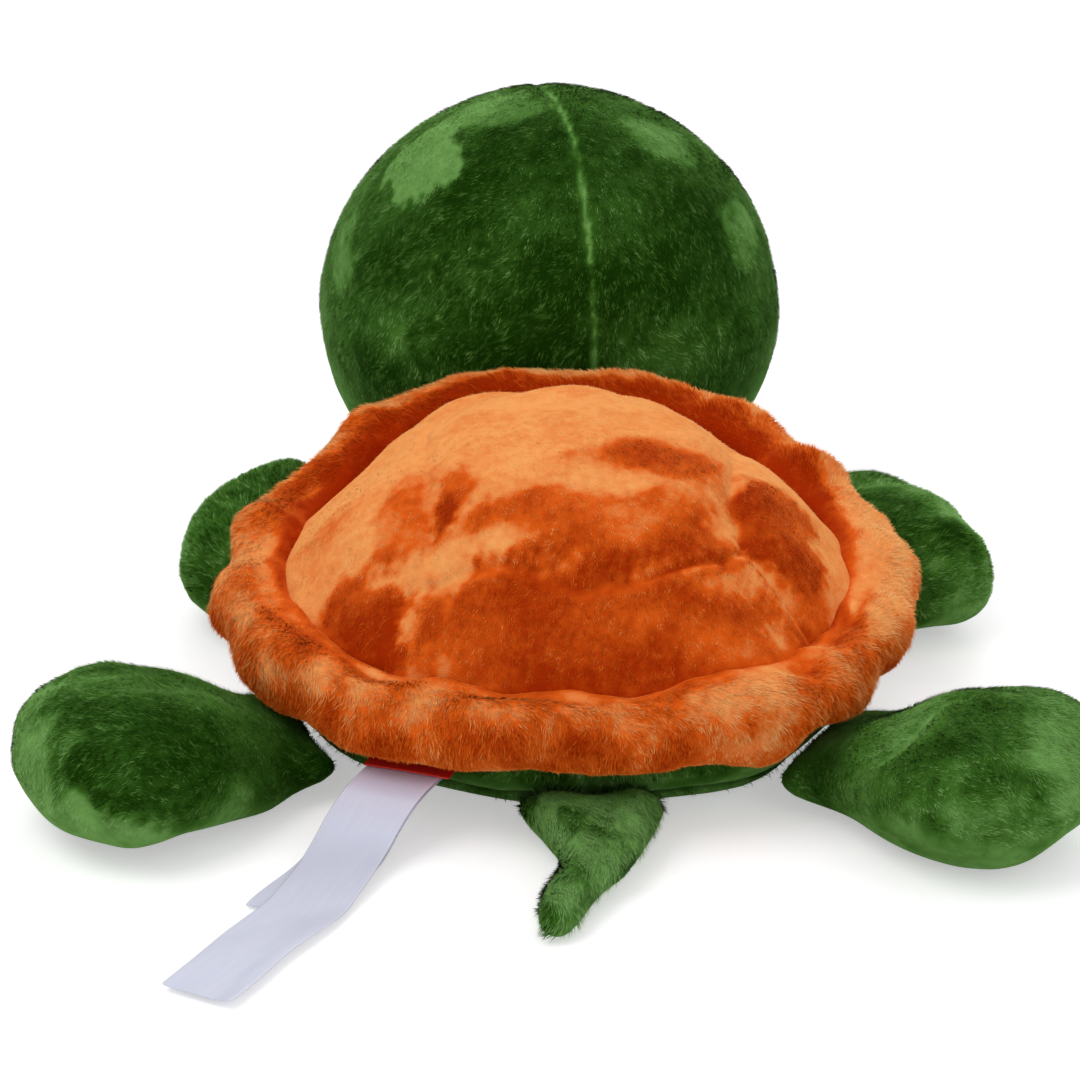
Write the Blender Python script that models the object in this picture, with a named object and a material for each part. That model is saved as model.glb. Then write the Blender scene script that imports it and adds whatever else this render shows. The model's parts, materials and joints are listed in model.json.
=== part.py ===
"""A stuffed plush turtle lying on its belly.

Metres, +Z up. The head points along +Y and the turtle's right side along +X. The origin is the middle
of the belly, on the surface that the toy lies on.

The body is a green stuffed core on a belly panel, with a bag of pellets between them. A quilted orange
dome lies on the body, and a stuffed roll runs round the seam of dome and body. Four flippers and a tail
are sewn to the body's edge under the roll, and their round roots turn in seats in the body. The head
nods on a short neck, and the neck turns on the body round the upright line through the head's middle.
"""
import math
from dataclasses import dataclass

import bmesh
import bpy
from mathutils import Matrix, Vector

# Fits
SEAM_GAP = 0.0003
TURN_GAP = 0.0006
CUT_OVERRUN = 0.006

# Shell outline, seen from above: reach every 30 degrees, counter-clockwise from the right side
SHELL_HALF_WIDTH = 0.0935
SHELL_REACH_SHARES = (1.01, 0.955, 0.955, 0.92, 0.965, 0.955, 1.0, 0.985, 0.905, 0.92, 0.94, 1.0)

# Rim: the stuffed roll round the shell, pushed up in front by the head
RIM_HALF_WIDTH = 0.0105
RIM_HALF_HEIGHT = 0.0103
RIM_SIDE_HEIGHT = 0.036
RIM_REAR_HEIGHT = 0.0295
RIM_FRONT_HEIGHT = 0.056
RIM_FOLD_REACH = 0.005
RIM_FOLD_ANGLE = 312.0
RIM_FOLD_SPREAD = 13.0
RIM_ROUNDNESS = 2.2
RIM_STEPS = 60
RIM_SIDES = 12

# Dome: four quilted panels round a six-cornered middle one
DOME_APEX_HEIGHT = 0.081
DOME_TUCK = 0.003
DOME_EDGE_DROP = 0.002
DOME_SEAT_DROP = 0.006
DOME_SEAM_DEPTH = 0.0022
DOME_FLATNESS_POWER = 2.5
DOME_EDGE_POWER = 0.62
SCUTE_CORNER_SHARES = (
    (0.503, -0.270), (0.481, 0.354), (0.064, 0.535), (-0.366, 0.410), (-0.374, -0.503), (0.108, -0.600),
)
SCUTE_EDGE_STEPS = 8
SCUTE_RINGS = 5
PANEL_RINGS = 7
SEAMED_CORNERS = (0, 1, 3, 4)
DOME_SEAT_SHARES = (1.0, 0.6, 0.3)

# Body and belly panel
BODY_INSET = 0.0125
BODY_EQUATOR_HEIGHT = 0.014
BODY_SHOULDER_HEIGHT = 0.022
BODY_SOLE_SHARE = 0.88
BODY_SHOULDER_SHARE = 0.955
BODY_TOP_SHARE = 0.86
BODY_TOP_RING_SHARES = (1.0, 0.6, 0.3)
BODY_STEPS = 56
BELLY_THICKNESS = 0.005
BELLY_FLAT_SHARE = 0.77
BELLY_BULGE_SHARE = 0.85

# Pellet bag, in a hollow of the body over the belly panel
BAG_RADIUS = 0.036
BAG_HEIGHT = 0.013
BAG_STEPS = 28
BAG_LEVEL_SHARES = (0.0, 0.25, 0.6, 0.88, 1.0)
BAG_RADIUS_SHARES = (0.95, 1.0, 0.9, 0.6, 0.2)

# Head: a ball that is wider than it is deep, turned a little to its left, with its chin on the surface
HEAD_RADIUS = 0.062
HEAD_HALF_WIDTH = 0.0685
HEAD_CHIN_SINK = 0.0017
HEAD_SIDE = -0.0035
HEAD_SHELL_GAP = 0.0023
HEAD_YAW = 9.0
HEAD_CROWN_POWER = 1.9
HEAD_JOWL_POWER = 2.5
HEAD_BLEND_SHARES = (-0.12, 0.40)
HEAD_SLICES = 40
HEAD_RINGS = 22
SNOUT_REACH = 0.013
SNOUT_ELEVATION = -16.0
SNOUT_SPREAD = 34.0
SNOUT_POWER = 2.4

# Neck: a short stuffed block between the back of the head and the front of the body
NECK_LENGTH = 0.016
NECK_BOTTOM = 0.003
NECK_TOP = 0.035
NECK_HALF_ANGLE = 17.0
NECK_TUCK = 0.010
NECK_SIDES = 24
NECK_RING_SHARES = (0.0, 0.35, 0.7, 1.0)
NECK_CAP_SHARES = (0.7, 0.4, 0.12)
NECK_ROUNDNESS = 2.6
NECK_CYLINDER_STEPS = 96

# Eyes: domed plastic buttons on stems, each held by a washer inside the head
EYE_RADIUS = 0.007
EYE_RISE = 0.0042
EYE_SINK = 0.001
EYE_STEM_RADIUS = 0.002
EYE_STEM_LENGTH = 0.012
EYE_AZIMUTH = 43.0
EYE_ELEVATION = 12.0
EYE_STEPS = 20
EYE_DOME_SHARES = (0.0, 0.3, 0.6, 0.85)
WASHER_RADIUS = 0.0075
WASHER_THICKNESS = 0.0015
WASHER_DEPTH = 0.007

# Flippers: paddles with round roots
ROOT_STEPS = 4
SEAT_STEPS = 12
HINGE_INSET = 0.008
HINGE_UP = 22.0
HINGE_DOWN = 15.0
HINGE_MARGIN = 3.0
FLIPPER_SIDES = 18
FLIPPER_ROUNDNESS = 2.3
FLIPPER_STATION_SHARES = (0.0, 0.10, 0.22, 0.36, 0.50, 0.64, 0.77, 0.88, 0.96, 1.0)
FLIPPER_SWELL_SHARES = (0.0, 0.07, 0.38, 0.74, 0.94, 1.0, 1.0, 1.0, 1.0, 1.0)
FLIPPER_TAPER_SHARES = (1.0, 1.0, 1.0, 1.0, 1.0, 1.0, 0.93, 0.75, 0.47, 0.12)
FRONT_FLIPPER_LENGTH = 0.050
FRONT_FLIPPER_HALF_WIDTH = 0.035
FRONT_FLIPPER_HALF_THICKNESS = 0.0185
FRONT_ROOT_HALF_WIDTH = 0.024
FRONT_ROOT_RADIUS = 0.0115
FRONT_HINGE_HEIGHT = 0.013
REAR_FLIPPER_LENGTH = 0.075
REAR_FLIPPER_HALF_WIDTH = 0.035
REAR_FLIPPER_HALF_THICKNESS = 0.0195
REAR_ROOT_HALF_WIDTH = 0.023
REAR_ROOT_RADIUS = 0.0085
REAR_HINGE_HEIGHT = 0.0098

# Tail: a flat taper that bends to the left
TAIL_LENGTH = 0.053
TAIL_ROOT_RADIUS = 0.0075
TAIL_ROOT_HALF_WIDTH = 0.0195
TAIL_HINGE_HEIGHT = 0.0085
TAIL_BEND = 0.011
TAIL_ANGLE = 275.0
TAIL_HEADING = 270.0
TAIL_STATION_SHARES = (0.0, 0.15, 0.32, 0.5, 0.68, 0.84, 0.95, 1.0)
TAIL_WIDTH_SHARES = (1.0, 0.80, 0.62, 0.50, 0.43, 0.36, 0.26, 0.12)
TAIL_THICKNESS_SHARES = (1.0, 1.0, 0.95, 0.86, 0.76, 0.65, 0.5, 0.25)
TAIL_SINK_SHARES = (0.0, 0.45, 0.96, 1.0, 1.0, 1.0, 1.0, 1.0)
TAIL_BEND_SHARES = (0.0, -0.08, -0.10, 0.02, 0.42, 0.72, 0.80, 0.80)

# Care label: two ribbon leaves and a short tab, sewn into one seam under the roll
LABEL_HALF_WIDTH = 0.010
LABEL_THICKNESS = 0.0005
LABEL_RUN = 0.100
LABEL_HINGE_HEIGHT = 0.016
LABEL_ANGLE = 240.0
LABEL_HEADING = 250.6
LABEL_END_HEADING = 240.6
LABEL_FLOOR_GAP = 0.0008
LABEL_LEAF_STEP = 0.0009
LABEL_ROOT_GAP = 0.0012
LABEL_SIDE_SHARES = (0.0, 0.045, 0.09, 0.135, 0.175, 0.22, 0.27, 0.325, 0.385, 0.445, 0.51)
LABEL_OUT_SHARES = (0.0, 0.09, 0.16, 0.21, 0.28, 0.39, 0.51, 0.60, 0.69, 0.805, 0.92)
LABEL_FALL_SHARES = (0.0, 0.0, 0.13, 0.47, 0.77, 0.93, 1.0, 1.0, 1.0, 1.0, 1.0)
SHORT_LEAF_STATIONS = 7
TAB_HALF_WIDTH = 0.0117
TAB_LENGTH = 0.0100
TAB_THICKNESS = 0.0008

# Plush colours, as linear values
LEAF_GREEN = (0.030, 0.110, 0.022)
SHELL_ORANGE = (0.45, 0.115, 0.018)
SATIN_WHITE = (0.62, 0.64, 0.74)
TAB_RED = (0.50, 0.015, 0.012)
EYE_BLACK = (0.006, 0.006, 0.007)
WASHER_WHITE = (0.75, 0.75, 0.72)
BAG_CLOTH = (0.60, 0.57, 0.50)


@dataclass(frozen=True)
class Flipper:
    """One flipper's own sizes, where it is sewn on, and how far it sweeps round from there, in degrees."""

    name: str
    length: float
    half_width: float
    half_thickness: float
    root_half_width: float
    root_radius: float
    hinge_height: float
    angle: float
    sweep: float


def front_flipper(name, angle, sweep):
    """A front flipper, sewn on at angle and swept round by sweep."""
    return Flipper(
        name, FRONT_FLIPPER_LENGTH, FRONT_FLIPPER_HALF_WIDTH, FRONT_FLIPPER_HALF_THICKNESS,
        FRONT_ROOT_HALF_WIDTH, FRONT_ROOT_RADIUS, FRONT_HINGE_HEIGHT, angle, sweep,
    )


def rear_flipper(name, angle, sweep):
    """A rear flipper, sewn on at angle and swept round by sweep."""
    return Flipper(
        name, REAR_FLIPPER_LENGTH, REAR_FLIPPER_HALF_WIDTH, REAR_FLIPPER_HALF_THICKNESS,
        REAR_ROOT_HALF_WIDTH, REAR_ROOT_RADIUS, REAR_HINGE_HEIGHT, angle, sweep,
    )


FLIPPERS = (
    front_flipper("front_right_flipper", 33.5, -5.0),
    front_flipper("front_left_flipper", 150.0, -28.0),
    rear_flipper("rear_left_flipper", 209.0, 4.5),
    rear_flipper("rear_right_flipper", 326.0, -4.0),
)


def plush(name, colour, roughness=0.9):
    """A matt material of one colour."""
    material = bpy.data.materials.new(name)
    material.use_nodes = True
    shader = material.node_tree.nodes["Principled BSDF"]
    shader.inputs["Base Color"].default_value = (*colour, 1.0)
    shader.inputs["Roughness"].default_value = roughness
    shader.inputs["Metallic"].default_value = 0.0
    return material


def place(angle, distance, height=0.0):
    """The point at an angle in degrees and a distance from the upright line through the origin."""
    turn = math.radians(angle)
    return Vector((distance * math.cos(turn), distance * math.sin(turn), height))


def standing(location, heading=0.0):
    """The matrix that turns a part's own +X to a heading in degrees and carries it to location."""
    return Matrix.Translation(location) @ Matrix.Rotation(math.radians(heading), 4, "Z")


def add_object(name, bm, material, matrix=None):
    """Makes an object of a bmesh, with its faces pointing out, and puts it in the scene."""
    bmesh.ops.recalc_face_normals(bm, faces=bm.faces)
    mesh = bpy.data.meshes.new(name)
    bm.to_mesh(mesh)
    bm.free()
    mesh.shade_smooth()
    if material:
        mesh.materials.append(material)
    thing = bpy.data.objects.new(name, mesh)
    bpy.context.scene.collection.objects.link(thing)
    if matrix:
        thing.matrix_world = matrix
    return thing


def as_cutter(thing):
    """Marks an object as a cutter, which only takes material from others."""
    thing.hide_render = True
    thing.display_type = "WIRE"
    return thing


def cut(thing, cutter):
    """Takes a cutter's space out of a piece."""
    step = thing.modifiers.new("cut_" + cutter.name, "BOOLEAN")
    step.operation = "DIFFERENCE"
    step.solver = "EXACT"
    step.object = cutter


def loft(rings, closed=False):
    """Joins rings of equal counts into one closed skin: round again to the first, or capped at both ends."""
    bm = bmesh.new()
    loops = [[bm.verts.new(point) for point in ring] for ring in rings]
    count = len(loops[0])
    pairs = list(zip(loops, loops[1:]))
    if closed:
        pairs.append((loops[-1], loops[0]))
    for near, far in pairs:
        for i in range(count):
            j = (i + 1) % count
            bm.faces.new((near[i], near[j], far[j], far[i]))
    if not closed:
        for loop in (loops[0], loops[-1]):
            middle = bm.verts.new(sum((v.co for v in loop), Vector()) / count)
            for i in range(count):
                bm.faces.new((loop[i], loop[(i + 1) % count], middle))
    return bm


def lathe(profile, steps, hollow=False):
    """Turns a profile of (radius, height) round the upright axis. A hollow one is a closed ring."""
    rings = []
    for radius, height in profile:
        rings.append([place(360.0 * i / steps, radius, height) for i in range(steps)])
    return loft(rings, closed=hollow)


def rounded(angle, half_width, half_height, power=2.0):
    """A point of a rounded section at an angle in radians: (across, up)."""
    across = math.copysign(abs(math.cos(angle)) ** (2.0 / power), math.cos(angle))
    up = math.copysign(abs(math.sin(angle)) ** (2.0 / power), math.sin(angle))
    return half_width * across, half_height * up


def share_around(shares, angle):
    """A smooth value round the clock from shares at even steps, at an angle in degrees."""
    count = len(shares)
    place_in_list = (angle % 360.0) / 360.0 * count
    i = int(place_in_list)
    f = place_in_list - i
    a, b, c, d = (shares[(i + k) % count] for k in (-1, 0, 1, 2))
    return b + 0.5 * f * (c - a + f * (2 * a - 5 * b + 4 * c - d + f * (3 * (b - c) + d - a)))


def shell_reach(angle):
    """How far the shell's outer edge is from the middle, at an angle in degrees."""
    fold = math.exp(-(((angle % 360.0) - RIM_FOLD_ANGLE) / RIM_FOLD_SPREAD) ** 2)
    return SHELL_HALF_WIDTH * share_around(SHELL_REACH_SHARES, angle) + RIM_FOLD_REACH * fold


def edge_height(ahead):
    """The height of the rim's middle line where it is ahead, from -1 at the rear to 1 in front."""
    slope = (RIM_FRONT_HEIGHT - RIM_REAR_HEIGHT) / 2
    bow = (RIM_FRONT_HEIGHT + RIM_REAR_HEIGHT) / 2 - RIM_SIDE_HEIGHT
    return RIM_SIDE_HEIGHT + slope * ahead + bow * ahead * ahead


def seat_height(x, y):
    """The height of the face where dome and body meet."""
    angle = math.degrees(math.atan2(y, x))
    return edge_height(y / shell_reach(angle)) - DOME_SEAT_DROP


def dome_edge(angle):
    """How far the dome's edge is from the middle: a little way under the roll."""
    return shell_reach(angle) - 2 * RIM_HALF_WIDTH + DOME_TUCK


def body_edge(angle):
    """How far the body's edge is from the middle."""
    return shell_reach(angle) - BODY_INSET


def dome_height(x, y):
    """The height of the dome's top, without its seams."""
    angle = math.degrees(math.atan2(y, x))
    out = min(math.hypot(x, y) / dome_edge(angle), 1.0)
    base = edge_height(y / shell_reach(angle)) - DOME_EDGE_DROP
    rise = DOME_APEX_HEIGHT - (RIM_SIDE_HEIGHT - DOME_EDGE_DROP)
    return base + rise * (1.0 - out ** DOME_FLATNESS_POWER) ** DOME_EDGE_POWER


def rim_rings(grow=0.0):
    """The rings of the roll, in order round the shell. grow makes it fatter all round."""
    rings = []
    for i in range(RIM_STEPS):
        angle = 360.0 * i / RIM_STEPS
        middle = shell_reach(angle) - RIM_HALF_WIDTH
        height = edge_height(math.sin(math.radians(angle)))
        ring = []
        for k in range(RIM_SIDES):
            turn = 2 * math.pi * (k + 0.5) / RIM_SIDES
            out, up = rounded(turn, RIM_HALF_WIDTH + grow, RIM_HALF_HEIGHT + grow, RIM_ROUNDNESS)
            ring.append(place(angle, middle + out, height + up))
        rings.append(ring)
    return rings


def make_rim(material):
    """The roll, and a cutter of its shape that leaves the seam gap."""
    rim = add_object("shell_rim", loft(rim_rings(), closed=True), material)
    cutter = add_object("rim_cutter", loft(rim_rings(SEAM_GAP), closed=True), None)
    return rim, as_cutter(cutter)


def scute_corners():
    """The corners of the middle panel, seen from above, counter-clockwise."""
    return [SHELL_HALF_WIDTH * Vector(corner) for corner in SCUTE_CORNER_SHARES]


def outward_to_edge(start, along):
    """The point of the dome's edge that a line from start through along reaches, seen from above."""
    step = (along - start).normalized()
    near, far = 0.0, 2 * SHELL_HALF_WIDTH
    for _ in range(40):
        middle = (near + far) / 2
        point = start + step * middle
        if point.length < dome_edge(math.degrees(math.atan2(point.y, point.x))):
            near = middle
        else:
            far = middle
    return start + step * near


def make_dome(material, rim_cutter):
    """The quilted dome: its mesh lines follow the seams, which are drawn down into it."""
    corners = scute_corners()
    middle = sum(corners, Vector((0.0, 0.0))) / len(corners)
    spokes = []
    for i, corner in enumerate(corners):
        following = corners[(i + 1) % len(corners)]
        for k in range(SCUTE_EDGE_STEPS):
            point = corner.lerp(following, k / SCUTE_EDGE_STEPS)
            spokes.append((point, outward_to_edge(middle, point), k == 0 and i in SEAMED_CORNERS))
    bm = bmesh.new()
    top = bm.verts.new((middle.x, middle.y, dome_height(middle.x, middle.y)))
    shares = [(ring + 1) / SCUTE_RINGS for ring in range(SCUTE_RINGS)]
    loops = []
    for share in shares:
        loop = []
        for point, _, _ in spokes:
            at = middle.lerp(point, share)
            drop = DOME_SEAM_DEPTH if share == 1.0 else 0.0
            loop.append(bm.verts.new((at.x, at.y, dome_height(at.x, at.y) - drop)))
        loops.append(loop)
    for ring in range(1, PANEL_RINGS + 1):
        share = math.sin(0.5 * math.pi * ring / PANEL_RINGS)
        loop = []
        for point, edge, seamed in spokes:
            at = point.lerp(edge, share)
            drop = DOME_SEAM_DEPTH * (1.0 - share) if seamed else 0.0
            loop.append(bm.verts.new((at.x, at.y, dome_height(at.x, at.y) - drop)))
        loops.append(loop)
    for share in DOME_SEAT_SHARES:
        loop = []
        for _, edge, _ in spokes:
            at = middle.lerp(edge, share)
            loop.append(bm.verts.new((at.x, at.y, seat_height(at.x, at.y))))
        loops.append(loop)
    count = len(spokes)
    bottom = bm.verts.new((middle.x, middle.y, seat_height(middle.x, middle.y)))
    for i in range(count):
        j = (i + 1) % count
        bm.faces.new((top, loops[0][i], loops[0][j]))
        bm.faces.new((bottom, loops[-1][j], loops[-1][i]))
        for near, far in zip(loops, loops[1:]):
            bm.faces.new((near[i], far[i], far[j], near[j]))
    dome = add_object("shell_dome", bm, material)
    cut(dome, rim_cutter)
    return dome


def outline_ring(share, height):
    """A ring of the body's outline at a share of its size. height is a number or a function of x, y."""
    ring = []
    for i in range(BODY_STEPS):
        angle = 360.0 * (i + 0.5) / BODY_STEPS
        point = place(angle, body_edge(angle) * share)
        point.z = height(point.x, point.y) if callable(height) else height
        ring.append(point)
    return ring


def make_body(material):
    """The stuffed core under the dome, with the hollow for the pellet bag open at its underside."""

    def under_dome(x, y):
        return seat_height(x, y) - SEAM_GAP

    rings = [
        outline_ring(BODY_SOLE_SHARE, BELLY_THICKNESS + SEAM_GAP),
        outline_ring(1.0, BODY_EQUATOR_HEIGHT),
        outline_ring(BODY_SHOULDER_SHARE, BODY_SHOULDER_HEIGHT),
    ]
    rings += [outline_ring(BODY_TOP_SHARE * share, under_dome) for share in BODY_TOP_RING_SHARES]
    return add_object("body", loft(rings), material)


def make_belly_panel(material):
    """The panel under the body, pressed flat where the toy lies on it."""
    rings = [
        outline_ring(BELLY_FLAT_SHARE, 0.0),
        outline_ring(BELLY_BULGE_SHARE, BELLY_THICKNESS / 2),
        outline_ring(BODY_SOLE_SHARE, BELLY_THICKNESS),
    ]
    return add_object("belly_panel", loft(rings), material)


def bag_profile(gap=0.0):
    """The pellet bag's profile from its underside up. gap makes it larger all round."""
    floor = BELLY_THICKNESS + SEAM_GAP
    return [
        (BAG_RADIUS * radius + gap, floor + BAG_HEIGHT * level + gap)
        for level, radius in zip(BAG_LEVEL_SHARES, BAG_RADIUS_SHARES)
    ]


def make_pellet_bag(material, body):
    """The bag of pellets that weighs the belly down, and its hollow in the body."""
    bag = add_object("pellet_bag", lathe(bag_profile(), BAG_STEPS), material)
    hollow = bag_profile(SEAM_GAP)
    hollow.insert(0, (hollow[0][0], BELLY_THICKNESS - CUT_OVERRUN))
    cut(body, as_cutter(add_object("bag_cutter", lathe(hollow, BAG_STEPS), None)))
    return bag


def head_middle():
    """The middle of the head's ball, on which it nods and round which it turns."""
    forward = shell_reach(90.0) + HEAD_SHELL_GAP + HEAD_RADIUS
    return Vector((HEAD_SIDE, forward, HEAD_RADIUS - HEAD_CHIN_SINK))


def snout_direction():
    """The unit vector of the snout in the head's own frame, where it faces +Y."""
    lift = math.radians(SNOUT_ELEVATION)
    return Vector((0.0, math.cos(lift), math.sin(lift)))


def head_reach(direction, snout=True):
    """How far the head's surface is from its middle along a unit vector in its own frame."""
    around = math.hypot(direction.y, direction.z)
    low, high = HEAD_BLEND_SHARES
    rise = min(max((direction.z / max(around, low + high) - low) / (high - low), 0.0), 1.0)
    rise = rise * rise * (3.0 - 2.0 * rise)
    power = HEAD_JOWL_POWER + (HEAD_CROWN_POWER - HEAD_JOWL_POWER) * rise
    across = abs(direction.x) / HEAD_HALF_WIDTH
    ball = (across**power + (around / HEAD_RADIUS) ** power) ** (-1.0 / power)
    if not snout:
        return ball
    away = math.degrees(direction.angle(snout_direction()))
    return ball + SNOUT_REACH * math.exp(-((away / SNOUT_SPREAD) ** SNOUT_POWER))


def head_rings(grow=0.0, snout=True):
    """Rings of the head round its side-to-side line. grow makes it larger, and snout adds the snout."""
    rings = []
    for i in range(1, HEAD_RINGS):
        turn = math.pi * i / HEAD_RINGS
        ring = []
        for k in range(HEAD_SLICES):
            spin = 2 * math.pi * k / HEAD_SLICES
            across = HEAD_HALF_WIDTH * math.cos(turn)
            around = HEAD_RADIUS * math.sin(turn)
            direction = Vector((across, around * math.cos(spin), around * math.sin(spin))).normalized()
            ring.append(direction * (head_reach(direction, snout) + grow))
        rings.append(ring)
    return rings


def head_stand():
    """Where the head's own frame stands: at its middle, turned by its resting yaw."""
    return standing(head_middle(), HEAD_YAW)


def make_head(material):
    """The stuffed head, pressed flat under its chin."""
    rings = head_rings()
    floor = -head_middle().z
    for ring in rings:
        for point in ring:
            point.z = max(point.z, floor)
    return add_object("head", loft(rings), material, head_stand())


def neck_ring(radius, share):
    """A rounded ring of the neck at a radius from the head's upright line, at a share of its size."""
    middle = (NECK_TOP + NECK_BOTTOM) / 2
    half_height = (NECK_TOP - NECK_BOTTOM) / 2
    ring = []
    for k in range(NECK_SIDES):
        turn = 2 * math.pi * k / NECK_SIDES
        across, up = rounded(turn, NECK_HALF_ANGLE * share, half_height * share, NECK_ROUNDNESS)
        ring.append(place(270.0 + across, radius, middle + up))
    return ring


def make_neck(material, body_parts):
    """The neck: hollowed for the head's ball, and round behind where it turns on the body."""
    middle = head_middle()
    stand = standing(Vector((middle.x, middle.y, 0.0)))
    inner, outer = HEAD_RADIUS - NECK_TUCK, HEAD_RADIUS + NECK_LENGTH
    rings = [neck_ring(inner, share) for share in reversed(NECK_CAP_SHARES)]
    rings += [neck_ring(inner + (outer - inner) * share, 1.0) for share in NECK_RING_SHARES]
    rings += [neck_ring(outer, share) for share in NECK_CAP_SHARES]
    neck = add_object("neck", loft(rings), material, stand)
    ball = loft(head_rings(TURN_GAP, snout=False))
    cut(neck, as_cutter(add_object("head_cutter", ball, None, head_stand())))
    radius = outer + TURN_GAP
    wall = [(radius, -CUT_OVERRUN), (radius, RIM_FRONT_HEIGHT)]
    cutter = as_cutter(add_object("neck_cutter", lathe(wall, NECK_CYLINDER_STEPS), None, stand))
    for piece in body_parts:
        cut(piece, cutter)
    return neck


def eye_direction(side):
    """The unit vector to an eye in the head's own frame. side is -1 for the left eye and 1 for the right."""
    turn, lift = math.radians(EYE_AZIMUTH), math.radians(EYE_ELEVATION)
    flat = math.cos(lift)
    return Vector((side * math.sin(turn) * flat, math.cos(turn) * flat, math.sin(lift)))


def eye_stand(side):
    """Where an eye's own frame stands: on the head's surface, with +Z pointing out of the head."""
    direction = eye_direction(side)
    spin = direction.to_track_quat("Z", "Y").to_matrix().to_4x4()
    outside = direction * (head_reach(direction) - EYE_SINK)
    return head_stand() @ Matrix.Translation(outside) @ spin


def make_eye(name, side, eye_material, washer_material, head):
    """An eye with its stem, the washer that locks it inside the head, and the room for both."""
    dome = [
        (EYE_RADIUS * math.cos(math.asin(share)), EYE_RISE * share) for share in EYE_DOME_SHARES
    ]
    stem = [(EYE_STEM_RADIUS, -EYE_STEM_LENGTH), (EYE_STEM_RADIUS, 0.0)]
    stand = eye_stand(side)
    add_object(name, lathe(stem + dome, EYE_STEPS), eye_material, stand)
    hole = EYE_STEM_RADIUS + SEAM_GAP
    low, high = -WASHER_DEPTH - WASHER_THICKNESS, -WASHER_DEPTH
    ring = [(hole, low), (WASHER_RADIUS, low), (WASHER_RADIUS, high), (hole, high)]
    add_object(name + "_washer", lathe(ring, EYE_STEPS, hollow=True), washer_material, stand)
    pocket = WASHER_RADIUS + SEAM_GAP
    seat = EYE_RADIUS + SEAM_GAP
    room = [
        (hole, -EYE_STEM_LENGTH - SEAM_GAP), (hole, low - SEAM_GAP),
        (pocket, low - SEAM_GAP), (pocket, high + SEAM_GAP),
        (hole, high + SEAM_GAP), (hole, -SEAM_GAP),
        (seat, -SEAM_GAP), (seat, EYE_RISE + CUT_OVERRUN),
    ]
    cutter = add_object(name + "_cutter", lathe(room, EYE_STEPS), None, stand)
    cut(head, as_cutter(cutter))


def root_rings(radius, half_width, sides, roundness):
    """The rings of a round root behind its hinge line, from its back to the line."""
    rings = []
    for i in range(ROOT_STEPS):
        turn = 0.5 * math.pi * (1.0 - (i + 0.15) / ROOT_STEPS)
        rings.append(section(-radius * math.sin(turn), half_width, radius * math.cos(turn), sides, roundness))
    return rings


def section(out, half_width, half_height, sides, roundness, side=0.0, up=0.0):
    """A rounded section across a limb's own +X, at a distance out along it."""
    ring = []
    for k in range(sides):
        across, rise = rounded(2 * math.pi * k / sides, half_width, half_height, roundness)
        ring.append(Vector((out, side + across, up + rise)))
    return ring


def seat_cutter(name, radius, half_width, stand):
    """The space that a round root and the limb beyond it need, from their lowest to their highest turn."""
    high = 90.0 + HINGE_UP + HINGE_MARGIN
    low = 270.0 - HINGE_DOWN - HINGE_MARGIN
    size = radius + TURN_GAP
    arc = [math.radians(high + (low - high) * i / SEAT_STEPS) for i in range(SEAT_STEPS + 1)]
    outline = [(size * math.cos(turn), size * math.sin(turn)) for turn in arc]
    beyond = BODY_INSET + 2 * radius
    for turn, sign in ((arc[-1], 1.0), (arc[0], -1.0)):
        x, z = size * math.cos(turn), size * math.sin(turn)
        outline.append((x - sign * beyond * math.sin(turn), z + sign * beyond * math.cos(turn)))
    side = half_width + TURN_GAP
    rings = [[Vector((x, across, z)) for x, z in outline] for across in (-side, side)]
    return as_cutter(add_object(name, loft(rings), None, stand))


def pressed_flat(rings, hinge_height):
    """Presses a limb's underside flat where it lies on the surface."""
    for ring in rings:
        for point in ring:
            point.z = max(point.z, -hinge_height)
    return rings


def flipper_stand(flipper):
    """Where a flipper's own frame stands: on its hinge line, with +X pointing straight out."""
    distance = shell_reach(flipper.angle) - HINGE_INSET
    return standing(place(flipper.angle, distance, flipper.hinge_height), flipper.angle)


def make_flipper(flipper, material, body_parts):
    """A flipper, and its seat in the body."""
    root_width, root_radius = flipper.root_half_width, flipper.root_radius
    rings = root_rings(root_radius, root_width, FLIPPER_SIDES, FLIPPER_ROUNDNESS)
    sweep = math.radians(flipper.sweep)
    shares = zip(FLIPPER_STATION_SHARES, FLIPPER_SWELL_SHARES, FLIPPER_TAPER_SHARES)
    for station, swell, taper in shares:
        half_width = (root_width + (flipper.half_width - root_width) * swell) * taper
        half_height = (root_radius + (flipper.half_thickness - root_radius) * swell) * taper
        lift = (flipper.half_thickness - flipper.hinge_height) * swell
        along = flipper.length * station
        rings.append(
            section(
                along * math.cos(sweep), half_width, half_height, FLIPPER_SIDES, FLIPPER_ROUNDNESS,
                side=along * math.sin(sweep), up=lift,
            )
        )
    stand = flipper_stand(flipper)
    add_object(flipper.name, loft(pressed_flat(rings, flipper.hinge_height)), material, stand)
    cutter = seat_cutter(flipper.name + "_cutter", root_radius, root_width, stand)
    for piece in body_parts:
        cut(piece, cutter)


def tail_stand():
    """Where the tail's own frame stands: on its hinge line, with +X pointing out to the rear."""
    distance = shell_reach(TAIL_ANGLE) - HINGE_INSET
    return standing(place(TAIL_ANGLE, distance, TAIL_HINGE_HEIGHT), TAIL_HEADING)


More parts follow.
